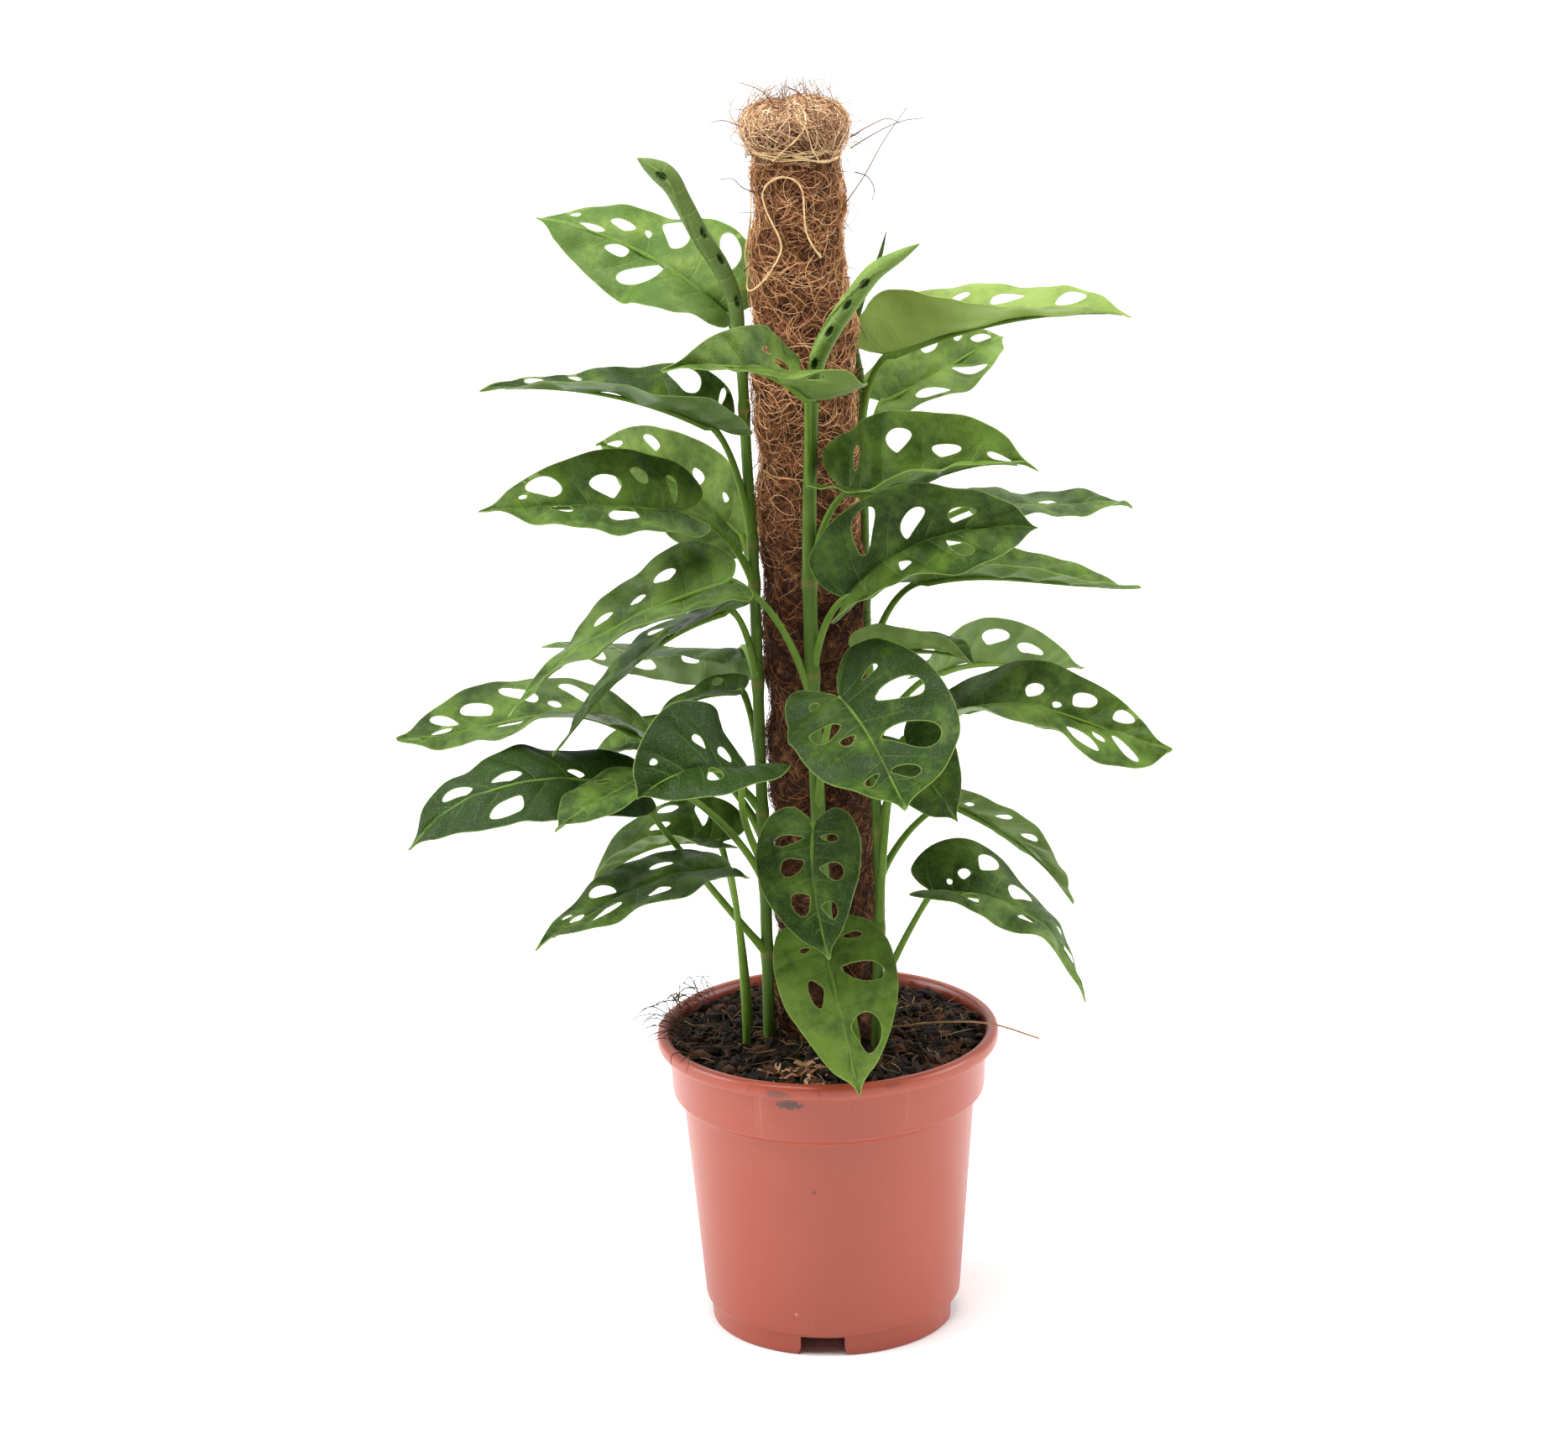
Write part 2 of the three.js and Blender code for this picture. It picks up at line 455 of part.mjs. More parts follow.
// base and tip are places of the blade's ends; from is the stem and height that bear the petiole.
const LEAVES = {
  leaf_01: {
    base: [-40, 20, 512], tip: [-133, 61, 553], roll: -33, half: [29, 34], fold: [42, 45],
    foldAhead: [-14, -10], arch: [8, 9], bow: -8, lobe: 0.5, belly: [0.08, 0], from: ['left', 470],
    holes: ['..O.s', '.eO.o'],
  },
  leaf_03: {
    base: [-38, 7, 326], tip: [-83, 23, 305], roll: -14, half: [20, 15], fold: [22, 8], arch: [8, 6],
    lobe: 0.3, from: ['left', 285], holes: ['..s..', '..s..'],
  },
  leaf_04: {
    base: [36, 13, 492], tip: [154, 3, 512], roll: -5, half: [32, 34], fold: [55, 69],
    foldAhead: [30, 23], curl: [-10, 5], arch: [9, 11], bow: 2, belly: [0.06, -0.13],
    from: ['right', 455], holes: ['..e.o', '...s.'],
  },
  leaf_07: {
    base: [-3, -49, 488], tip: [-71, -116, 522], roll: -18, half: [36, 24], fold: [34, 38],
    curl: [-5, 14], arch: [14, 17], bow: 8, twist: -40, from: ['front', 430], holes: ['.....', '.....'],
  },
  leaf_08: {
    base: [-49, -8, 464], tip: [-159, -44, 495], roll: -16, half: [34, 27], fold: [38, 50],
    foldAhead: [37, -6], curl: [0, 4], arch: [14, 16], bow: 5, lobe: 0.9, belly: [-0.1, -0.05],
    from: ['left', 405], holes: ['.....', '.o..o'],
  },
  leaf_09: {
    base: [-36, 29, 398], tip: [-109, 96, 428], roll: -35, half: [27, 26], fold: [15, 42], curl: [0, 7],
    arch: [3, 12], bow: -5, belly: [0, 0.07], from: ['left', 372], holes: ['.....', '.so.o'],
  },
  leaf_10: {
    base: [-64, -28, 427], tip: [-161, -56, 439], roll: -28, half: [27, 30], fold: [18, 25],
    arch: [8, 2], from: ['left', 385], holes: ['..o.s', 'loO.O'],
  },
  leaf_11: {
    base: [-42, -45, 398], tip: [-151, -73, 342], half: [34, 33], fold: [-12, 12], curl: [40, 14],
    arch: [13, 14], twist: 29, lobe: 0.5, belly: [0, -0.15], from: ['front', 330],
    holes: ['.....', '.oso.'],
  },
  leaf_12: {
    base: [-43, -26, 378], tip: [-130, -50, 313], roll: 10, half: [21, 21], fold: [14, 8],
    arch: [17, 10], from: ['left', 335], holes: ['.....', '..o..'],
  },
  leaf_13: {
    base: [-38, 42, 336], tip: [-139, 95, 324], roll: 18, half: [30, 32], fold: [-3, -16],
    curl: [-16, -40], arch: [1, 0], twist: 17, from: ['left', 335], via: [-36, 16, 350],
    holes: ['.....', '...eo'],
  },
  leaf_14: {
    base: [-89, -10, 309], tip: [-208, -4, 310], roll: 2, half: [33, 32], fold: [7, 19],
    curl: [14, -10], arch: [28, -6], bow: -5, twist: -49, belly: [0, 0.1], from: ['left', 268],
    holes: ['...s.', '.OsOO'],
  },
  leaf_15: {
    base: [-94, -39, 294], tip: [-202, -65, 273], roll: -11, half: [31, 29], fold: [-5, 12],
    curl: [-10, -17], arch: [19, 25], bow: -5, twist: -10, belly: [0.08, 0.03], from: ['left', 195],
    via: [-58, -24, 236], holes: ['...O.', '.s.ss'],
  },
  leaf_16: {
    base: [-84, -62, 306], tip: [-129, -99, 293], half: [23, 23], fold: [9, 6], curl: [-6, -13],
    arch: [3, 2], from: ['left', 232], via: [-48, -44, 284], holes: ['.....', '..o..'],
  },
  leaf_17: {
    base: [-35, -86, 316], tip: [-88, -123, 315], roll: 3, half: [32, 34], fold: [12, 46],
    curl: [-30, 23], arch: [7, 15], bow: 5, twist: -47, lobe: 0.5, belly: [0.06, 0.16],
    from: ['left', 240], via: [-46, -60, 292], holes: ['...o.', '.so.o'],
  },
  leaf_18: {
    base: [-74, 18, 297], tip: [-117, 40, 282], roll: -15, half: [19, 19], from: ['left', 255],
    holes: ['.....', '.....'],
  },
  leaf_19: {
    base: [-51, 12, 246], tip: [-119, 6, 222], roll: 10, half: [24, 26], fold: [15, 37],
    curl: [0, 6], arch: [15, 12], bow: -5, twist: 29, lobe: 1.2, root: [-38, 1],
    holes: ['.....', '.Oeo.'],
  },
  leaf_20: {
    base: [-46, -49, 253], tip: [-141, -89, 229], roll: -2, half: [28, 27], fold: [10, 9],
    curl: [-5, -6], arch: [16, 6], twist: -14, lobe: 0.3, root: [-40, -17], holes: ['..o.O', '..oO.'],
  },
  leaf_21: {
    base: [9, -75, 347], tip: [38, -147, 316], roll: 11, half: [44, 36], fold: [33, -3], curl: [-11, 3],
    arch: [5, -11], bow: 4, twist: -17, lobe: 2.2, belly: [0.15, 0.04], from: ['front', 275],
    holes: ['oO.Oo', '.Oo.o'],
  },
  leaf_22: {
    base: [39, -42, 315], tip: [64, -90, 288], roll: 26, half: [20, 23], fold: [15, 11],
    curl: [-10, -3], arch: [0, 2], lobe: 1.3, from: ['low', 210], holes: ['.....', '.....'],
  },
  leaf_23: {
    base: [63, 34, 257], tip: [125, 52, 194], roll: -7, half: [24, 24], fold: [8, 20], curl: [-23, 14],
    arch: [6, 12], twist: 15, from: ['right', 215], holes: ['.....', 's.oo.'],
  },
  leaf_24: {
    base: [52, -36, 234], tip: [126, -75, 189], roll: -15, half: [31, 26], fold: [46, 27],
    foldAhead: [6, -2], curl: [-5, -46], arch: [25, 21], bow: 9, twist: -18, lobe: 0.8,
    belly: [-0.08, -0.1], from: ['low', 175], via: [36, -31, 206], holes: ['.oo.e', '..o..'],
  },
  leaf_25: {
    base: [68, -25, 323], tip: [170, -36, 305], roll: 10, half: [26, 32], fold: [25, -2], curl: [0, 34],
    arch: [20, -4], bow: 5, twist: 51, belly: [0, 0.16], from: ['low', 262], holes: ['..oOe', '...OO'],
  },
  leaf_26: {
    base: [58, 31, 325], tip: [133, 81, 311], roll: -24, half: [24, 26], fold: [13, 35], curl: [4, 28],
    arch: [10, -2], from: ['right', 285], holes: ['.....', '..OO.'],
  },
  leaf_27: {
    base: [24, -32, 357], tip: [75, -59, 358], roll: -12, half: [23, 23], fold: [22, 28], curl: [0, 15],
    arch: [3, 6], bow: 3, twist: -10, lobe: 1.2, from: ['low', 300], holes: ['.....', '.....'],
  },
  leaf_28: {
    base: [50, -12, 385], tip: [156, -25, 385], roll: -4, half: [23, 22], fold: [19, 20],
    curl: [17, 16], arch: [10, -4], from: ['right', 330], holes: ['.....', '.....'],
  },
  leaf_29: {
    base: [80, 41, 408], tip: [158, 71, 397], half: [23, 24], fold: [8, 9], curl: [-7, -20],
    arch: [-1, 2], from: ['right', 370], holes: ['.....', '...s.'],
  },
  leaf_30: {
    base: [13, -46, 388], tip: [105, -80, 431], roll: 32, half: [32, 32], fold: [63, -5], curl: [5, 47],
    arch: [17, 17], bow: 6, twist: 31, lobe: 0.4, belly: [0.12, 0.15], from: ['front', 345],
    holes: ['..Ooo', '..s.o'],
  },
  leaf_31: {
    base: [15, -42, 440], tip: [105, -81, 459], half: [36, 27], fold: [68, 20], curl: [28, -9],
    arch: [-6, 18], bow: -3, twist: 8, lobe: 1.6, from: ['front', 392], holes: ['l.O.o', '.....'],
  },
  leaf_32: {
    base: [34, 47, 460], tip: [96, 102, 477], roll: 26, half: [21, 24], fold: [19, 19], curl: [-11, 6],
    arch: [2, 10], bow: -4, twist: 13, belly: [0.06, 0.04], from: ['right', 425],
    holes: ['..O.o', '.O.O.'],
  },
  leaf_33: {
    base: [-5, -66, 281], tip: [1, -99, 223], roll: 22, half: [25, 27], fold: [8, 14], curl: [0, -5],
    arch: [10, 3], bow: -3, from: ['front', 250], holes: ['.sO.o', '.Oo.O'],
  },
  leaf_34: {
    base: [-3, -57, 222], tip: [14, -118, 160], roll: 8, half: [32, 27], fold: [3, 3], arch: [5, 2],
    lobe: 0.7, root: [16, -40], holes: ['o.O.O', 's.O..'],
  },
  leaf_35: {
    base: [-3, 50, 395], tip: [-5, 145, 375], half: [20, 20], from: ['right', 350],
    holes: ['..o..', '.o...'],
  },
  leaf_36: {
    base: [0, 50, 300], tip: [-3, 150, 255], half: [20, 20], arch: [8, 8], from: ['right', 255],
    holes: ['.o...', '..o..'],
  },
  leaf_37: {
    base: [2, 55, 205], tip: [2, 150, 165], half: [20, 20], arch: [8, 8], from: ['right', 165],
    holes: ['..o..', '..o..'],
  },
};

// Young leaves still rolled up: [x, y, z] along each from the end of its stem, and its thickest radius.
const ROLLED = {
  leaf_02: {
    stem: 'left', radius: 5.6,
    points: [
      [-35, 1, 503], [-37, 0, 524], [-43, -2, 542], [-52, -5, 558], [-60, -7, 575], [-67, -9, 588],
      [-81, -11, 598],
    ],
  },
  leaf_05: {
    stem: 'front', radius: 5.0,
    points: [[2, -39, 504], [10, -43, 521], [21, -48, 538], [30, -52, 550], [41, -56, 558], [51, -60, 565]],
  },
  leaf_06: { stem: 'right', radius: 2, points: [[20, 21, 500], [25, 22, 520], [33, 22, 537], [37, 20, 552]] },
};

function rolledGeometry(leaf) {
  const { curve } = STEMS[leaf.stem];
  const start = curve.getPoint(1).addScaledVector(curve.getTangent(1), 1.5 * SEAT);
  const route = new THREE.CatmullRomCurve3([start, ...leaf.points.map((p) => vec(...p))]);
  return tube(route, (t) => 0.8 + (leaf.radius - 0.8) * Math.sin(Math.PI * t ** 0.8) ** 0.8, 6, 12);
}

// ---- soil: fills the pot, heaped a little, with a plain hole for each thing that stands in it ----
function bore(curve, radius) {
  const foot = curve.getPoint(0);
  const high = curve.getPoint(wayTo(curve, POT.height + 8));
  const along = high.clone().sub(foot).normalize();
  const line = new THREE.LineCurve3(foot.addScaledVector(along, -SEAT), high);
  return toSolid(tube(line, () => (radius + SEAT) / Math.cos(Math.PI / 8), 8, 1));
}

function sleeveBore(radius, low, high) {
  const sides = 24;
  return toSolid(leaning(upright((radius + SEAT) / Math.cos(Math.PI / sides), low - SEAT, high, sides)));
}

function soilGeometry() {
  const { wall } = POT;
  const profile = [
    [0, POT.floorTop + SEAT], [wallRadius(POT.floorTop) - wall - SEAT, POT.floorTop + SEAT],
    [POT.wallTop - wall - SEAT, POT.collarFoot - 2.8], [POT.collarRadius - wall - 0.9, POT.collarFoot + 2.5],
    [POT.collarRadius - wall, SOIL.edge], [0.8 * POT.collarRadius, SOIL.edge + 1.5],
    [0.55 * POT.collarRadius, SOIL.crown - 1], [0, SOIL.crown],
  ].map(([r, z]) => new THREE.Vector2(r, z));
  const turned = new THREE.LatheGeometry(profile, POT.sides).rotateX(Math.PI / 2);
  const position = turned.attributes.position;
  for (let i = 0; i < position.count; i++) {
    const [x, y, z] = [position.getX(i), position.getY(i), position.getZ(i)];
    const clod = Math.sin(0.19 * x + 1.1) * Math.cos(0.23 * y) + 0.6 * Math.sin(0.37 * (x - y));
    if (z > SOIL.edge - 1) position.setZ(i, z + SOIL.clod * clod);
  }
  let soil = toSolid(turned)
    .subtract(sleeveBore(POLE.radius + POLE.bulge, POLE.foot, POT.height + 8))
    .subtract(sleeveBore(CORE.radius, CORE.foot, POLE.foot + 1));
  for (const stem of Object.values(STEMS)) soil = soil.subtract(bore(stem.curve, stem.radius));
  for (const leaf of Object.values(LEAVES)) {
    if (leaf.root) soil = soil.subtract(bore(petioleCurve(leaf), PETIOLE.foot + 2 * SEAT));
  }
  return toGeometry(soil);
}

add('pot', potGeometry(), COLOUR.pot, 0.45);
add('soil', soilGeometry(), COLOUR.soil, 0.95);
add('pole_core', leaning(upright(CORE.radius, CORE.foot, CORE.top, CORE.sides)), COLOUR.wood, 0.8);
add('coir_wrap', wrapGeometry(), COLOUR.coir, 0.95);
add('twine_tie', twineTie(), COLOUR.twine, 0.9);
add('twine_loop', twineEnd(TWINE_LOOP, 28), COLOUR.twine, 0.9);
add('twine_tail', twineEnd(TWINE_TAIL, 8), COLOUR.twine, 0.9);
for (const [name, stem] of Object.entries(STEMS)) {
  add(`stem_${name}`, stemGeometry(stem), COLOUR.stem, 0.5);
}
for (const [name, leaf] of Object.entries(LEAVES)) {
  add(name, leafGeometry(leaf), COLOUR.leaf, 0.45);
}
for (const [name, leaf] of Object.entries(ROLLED)) {
  add(name, rolledGeometry(leaf), COLOUR.young, 0.45);
}

plant.position.set(...BOX_SHIFT);
plant.updateMatrixWorld(true);

export default plant;
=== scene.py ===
"""Monstera adansonii on a coir pole in its nursery pot: the visual pieces over the CAD frame.

Everything is laid out in millimetres round the pot's axis, with the table at z = 0, and
new_mesh() moves it to the frame and to metres.
"""
import itertools
import math

import bpy
import numpy as np
from mathutils import Matrix, Vector
from mathutils.geometry import delaunay_2d_cdt


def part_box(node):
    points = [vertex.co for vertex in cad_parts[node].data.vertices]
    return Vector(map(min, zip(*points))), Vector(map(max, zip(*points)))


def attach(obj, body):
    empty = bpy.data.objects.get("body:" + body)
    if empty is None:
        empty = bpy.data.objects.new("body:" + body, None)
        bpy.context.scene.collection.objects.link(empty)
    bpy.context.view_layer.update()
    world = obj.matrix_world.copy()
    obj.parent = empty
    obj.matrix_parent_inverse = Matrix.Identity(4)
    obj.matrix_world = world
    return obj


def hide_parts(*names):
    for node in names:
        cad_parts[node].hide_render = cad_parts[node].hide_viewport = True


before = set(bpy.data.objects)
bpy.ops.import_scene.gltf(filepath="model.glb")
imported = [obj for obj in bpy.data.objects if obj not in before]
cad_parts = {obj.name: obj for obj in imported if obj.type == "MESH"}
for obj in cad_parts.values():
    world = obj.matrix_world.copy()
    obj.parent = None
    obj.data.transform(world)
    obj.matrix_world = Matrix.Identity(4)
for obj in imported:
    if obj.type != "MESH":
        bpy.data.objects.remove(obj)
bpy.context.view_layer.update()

MM = 0.001
POT_LOW, POT_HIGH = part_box("pot")
AXIS = np.array([(POT_LOW.x + POT_HIGH.x) / 2, (POT_LOW.y + POT_HIGH.y) / 2, 0.0]) / MM

# ---- dimensions shared with the CAD model ----
POT = {
    "height": 152.5, "rim": 85.0, "lip": 8.0, "collar": 78.5, "collar_foot": 120.5,
    "wall_top": 72.6, "wall_foot": 63.6, "foot_step": 12.0, "ring": 60.6, "ring_wall": 3.2,
    "wall": 1.6, "floor": 10.0, "floor_top": 13.0,
}
NOTCH = {"count": 4, "width": 22.0, "height": 10.0, "turn": -6.0}
DRAIN = {"count": 6, "radius": 4.5, "ring": 38.0}

# dirt on the pot: centre and half size in mm, strength and linear colour
POT_MARKS = [
    ((-20.9, -78, 140), (8, 6, 2.6), 0.85, (0.03, 0.02, 0.015, 1)),
    ((-26, -81, 147.5), (7, 6, 2.2), 0.6, (0.06, 0.03, 0.02, 1)),
    ((-8.9, -72.5, 91.2), (1.6, 4, 1.4), 0.8, (0.08, 0.03, 0.02, 1)),
    ((-19, -63.2, 23.2), (0.9, 4, 0.8), 0.7, (0.45, 0.3, 0.25, 1)),
    ((30, -78, 150), (6, 5, 1.6), 0.35, (0.08, 0.03, 0.02, 1)),
]
SOIL = {"edge": 147.0, "crown": 150.5, "radius": 77.4}
POLE = {"radius": 24.2, "bulge": 1.3, "pitch": 62.0, "foot": 100.0}
TIE = 598.5  # height of the twine round the pole
ROOTED = 118.0  # height down to which stems and rooted petioles reach in the soil
BLADE = 0.55  # thickness of a leaf


def pole_axis(z):
    """The leaning pole's axis in x, at a height."""
    return 3.6 - 0.0161 * z


# ---- small geometry helpers ----
def unit(vectors):
    """The same directions at length 1."""
    return vectors / np.maximum(np.linalg.norm(vectors, axis=-1, keepdims=True), 1e-9)


def smoothstep(low, high, value):
    """0 up to low, 1 from high on and smooth between; low may be above high."""
    t = np.clip((value - low) / (high - low), 0, 1)
    return t * t * (3 - 2 * t)


def hill(distance, width):
    """1 at no distance, falling away smoothly over a width."""
    return np.exp(-((distance / width) ** 2))


def around(sides):
    """The angles of even steps round a circle."""
    return 2 * np.pi * np.arange(sides) / sides


def turned(vectors, axis, angle):
    """Vectors turned about a unit axis."""
    angle = np.asarray(angle)[..., None]
    along = axis * np.sum(axis * vectors, -1, keepdims=True)
    return vectors * np.cos(angle) + np.cross(axis, vectors) * np.sin(angle) + along * (1 - np.cos(angle))


def centripetal(points, steps):
    """A smooth curve through points, with steps samples between each two."""
    p = np.array(points, float)
    p = np.vstack([2 * p[0] - p[1], p, 2 * p[-1] - p[-2]])
    curve = []
    for p0, p1, p2, p3 in zip(p, p[1:], p[2:], p[3:]):
        d0, d1, d2 = (math.sqrt(np.linalg.norm(b - a)) for a, b in ((p0, p1), (p1, p2), (p2, p3)))
        m1 = d1 * ((p1 - p0) / d0 - (p2 - p0) / (d0 + d1) + (p2 - p1) / d1)
        m2 = d1 * ((p2 - p1) / d1 - (p3 - p1) / (d1 + d2) + (p3 - p2) / d2)
        t = (np.arange(steps) / steps)[:, None]
        curve.append(p1 + m1 * t + (3 * (p2 - p1) - 2 * m1 - m2) * t**2 + (2 * (p1 - p2) + m1 + m2) * t**3)
    return np.vstack([*curve, p[-2:-1]])


def bezier(foot, bend, end, steps):
    """Points of the curve from foot to end that leans towards bend."""
    t = np.linspace(0, 1, steps)[:, None]
    return (1 - t) ** 2 * foot + 2 * t * (1 - t) * bend + t * t * end


def step_lengths(path):
    return np.linalg.norm(np.diff(path, axis=0), axis=1)


def path_length(path):
    return float(np.sum(step_lengths(path)))


def lengths_along(path):
    """How far along a path each of its points lies."""
    return np.concatenate([[0], np.cumsum(step_lengths(path))])


def resampled(path, step):
    """The same path with points about step apart."""
    lengths = lengths_along(path)
    count = max(2, int(round(lengths[-1] / step)) + 1)
    at = np.linspace(0, lengths[-1], count)
    return np.stack([np.interp(at, lengths, path[:, k]) for k in range(path.shape[1])], -1)


def smooth(points, steps, spacing):
    """An even curve through points, from steps samples between each two."""
    return resampled(centripetal(points, steps), spacing)


def carried_ups(path):
    """One direction carried along a path without twisting, square to it at each point."""
    tangents = unit(np.gradient(path, axis=0))
    up = np.cross(tangents[0], [1.0, 0.3, 0.2])
    ups = []
    for tangent in tangents:
        up = unit(up - tangent * np.dot(up, tangent))
        ups.append(up)
    return np.array(ups)


def quads(a, b, c, d):
    """Two triangles for each row of four corners."""
    return np.vstack([np.stack([a, b, c], -1), np.stack([a, c, d], -1)])


def fan(centre, first, second):
    """Triangles from one point to pairs of others."""
    return np.stack([np.full(len(first), centre), first, second], -1)


def next_round(sides):
    """The numbers of a ring's points, and of the next point round from each."""
    k = np.arange(sides)
    return k, (k + 1) % sides


def ring_grid(rings, sides):
    """On rings stacked one after another, all points but the last ring's, and the next round from each."""
    rows = sides * np.arange(rings - 1)[:, None]
    return ((rows + k).ravel() for k in next_round(sides))


def capped(rings, ends):
    """A closed body over rings of points (rings, sides, 3), fanned to an end point at either end."""
    count, sides = rings.shape[:2]
    a, b = ring_grid(count, sides)
    k, near = next_round(sides)
    foot, last = count * sides, (count - 1) * sides
    faces = [quads(a, b, b + sides, a + sides), fan(foot, near, k), fan(foot + 1, last + k, last + near)]
    return np.vstack([rings.reshape(-1, 3), ends]), np.vstack(faces)


def tubes(paths, radii, sides, ups):
    """Closed tubes along many paths of as many points: paths (m, n, 3), radii (m, n) or (m, n, sides)."""
    count, rings = paths.shape[:2]
    tangents = unit(np.gradient(paths, axis=1))
    across = unit(np.cross(tangents, ups))
    up = np.cross(across, tangents)
    angle = around(sides)
    spokes = np.cos(angle)[:, None] * up[:, :, None] + np.sin(angle)[:, None] * across[:, :, None]
    radii = radii if radii.ndim == 3 else radii[..., None]
    points = (paths[:, :, None] + radii[..., None] * spokes).reshape(-1, 3)
    a, b = ring_grid(rings, sides)
    k = np.arange(1, sides - 1)
    last = (rings - 1) * sides
    one = np.vstack([quads(a, b, b + sides, a + sides), fan(0, k + 1, k), fan(last, last + k, last + k + 1)])
    faces = (one[None] + (np.arange(count) * rings * sides)[:, None, None]).reshape(-1, 3)
    return points, faces


def tube(path, radii, sides):
    """One closed tube along a path."""
    radii = np.asarray(radii, float)
    return tubes(path[None], radii[None], sides, carried_ups(path)[None])


def joined(parts):
    """Several (points, faces) made one."""
    points = np.vstack([p for p, _ in parts])
    starts = np.cumsum([0] + [len(p) for p, _ in parts[:-1]])
    return points, np.vstack([f + start for (_, f), start in zip(parts, starts)])


def vertex_normals(points, faces):
    """Directions square to the surface at its points, the larger faces counting for more."""
    corners = points[faces]
    flat = np.cross(corners[:, 1] - corners[:, 0], corners[:, 2] - corners[:, 0])
    normals = np.zeros_like(points)
    for k in range(3):
        np.add.at(normals, faces[:, k], flat)
    return unit(normals)


def new_mesh(name, points, faces):
    """A mesh in the frame's metres, from points in mm and faces as an array or as lists."""
    mesh = bpy.data.meshes.new(name)
    faces = faces if isinstance(faces, list) else faces.tolist()
    mesh.from_pydata(((points + AXIS) * MM).tolist(), [], faces)
    return mesh


def add_piece(name, points, faces, material, slot, replaces=(), attributes=None, sharp=50):
    """A mesh piece that rides on the root body, with its CAD nodes hidden and its values per point."""
    mesh = new_mesh(name, points, faces)
    for key, values in (attributes or {}).items():
        values = np.asarray(values, np.float32)
        if values.ndim == 1:
            mesh.attributes.new(key, "FLOAT", "POINT").data.foreach_set("value", values)
        else:
            mesh.attributes.new(key, "FLOAT_VECTOR", "POINT").data.foreach_set("vector", values.ravel())
    mesh.shade_smooth()
    mesh.set_sharp_from_angle(angle=math.radians(sharp))
    mesh.materials.append(material)
    piece = bpy.data.objects.new(name, mesh)
    bpy.context.scene.collection.objects.link(piece)
    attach(piece, "root")
    if replaces:
        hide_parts(*replaces)
    return piece


# ---- material building ----
class Nodes:
    """A material's node tree, with short calls for the nodes used here."""

    def __init__(self, name, roughness, specular):
        self.material = bpy.data.materials.new(name)
        self.material.use_nodes = True
        self.tree = self.material.node_tree
        self.shader = self.tree.nodes["Principled BSDF"]
        self.shader.inputs["Roughness"].default_value = roughness
        self.shader.inputs["Specular IOR Level"].default_value = specular

    def put(self, socket, value):
        """Gives an input another node's output, or a plain value."""
        if isinstance(value, bpy.types.NodeSocket):
            self.tree.links.new(value, socket)
        else:
            socket.default_value = value

    def node(self, kind, output=0, settings=None, **inputs):
        """A new node's output; an input's name has _ for its spaces."""
        node = self.tree.nodes.new(kind)
        for key, value in (settings or {}).items():
            setattr(node, key, value)
        for key, value in inputs.items():
            self.put(node.inputs[key.replace("_", " ")], value)
        return node.outputs[output]

    def operate(self, kind, operation, values):
        """The outputs of a new maths node."""
        node = self.tree.nodes.new(kind)
        node.operation = operation
        for socket, value in zip(node.inputs, values):
            self.put(socket, value)
        return node.outputs

    def math(self, operation, *values):
        return self.operate("ShaderNodeMath", operation, values)[0]

    def vector_math(self, operation, *values):
        return self.operate("ShaderNodeVectorMath", operation, values)[0]

    def length(self, vector):
        return self.operate("ShaderNodeVectorMath", "LENGTH", [vector])[1]

    def swing(self, value, amount):
        """A value from 0 to 1 as one that swings round 0, by half the amount either way."""
        return self.math("MULTIPLY", self.math("SUBTRACT", value, 0.5), amount)

    def split(self, vector):
        """A vector's x, y and z."""
        return self.node("ShaderNodeSeparateXYZ", Vector=vector).node.outputs

    def ramp(self, value, low, high):
        """0 below low, 1 above high, smooth between; low may be above high."""
        return self.node("ShaderNodeMapRange", "Result", {"interpolation_type": "SMOOTHSTEP"},
                         Value=value, From_Min=low, From_Max=high)

    def mix(self, factor, first, second):
        return self.node("ShaderNodeMix", "Result", {"data_type": "RGBA"}, Factor=factor, A=first, B=second)

    def layer(self, colour, tint, mask, amount):
        """A colour with a tint over it, by so much where the mask is 1."""
        return self.mix(self.math("MULTIPLY", mask, amount), colour, tint)

    def attribute(self, name, output="Fac"):
        return self.node("ShaderNodeAttribute", output, {"attribute_name": name})

    def place(self):
        """Position in the frame, in metres."""
        return self.node("ShaderNodeTexCoord", 3)

    def noise(self, vector, scale, detail=3.0):
        return self.node("ShaderNodeTexNoise", Vector=vector, Scale=scale, Detail=detail, Roughness=0.55)

    def streaks(self, scale, detail=3.0):
        """Noise with so many features a metre along x, y and z, drawn out where they are few."""
        return self.noise(self.node("ShaderNodeMapping", Vector=self.place(), Scale=scale), 1.0, detail)

    def bump(self, height, strength, distance):
        return self.node("ShaderNodeBump", Height=height, Strength=strength, Distance=distance)

    def finish(self, colour, normal=None):
        self.put(self.shader.inputs["Base Color"], colour)
        if normal is not None:
            self.put(self.shader.inputs["Normal"], normal)
        return self.material


def rgb(red, green, blue):
    """An sRGB colour of 0 to 255 as the linear colour that nodes take."""
    parts = [c / 255 for c in (red, green, blue)]
    return (*[c / 12.92 if c <= 0.04045 else ((c + 0.055) / 1.055) ** 2.4 for c in parts], 1.0)


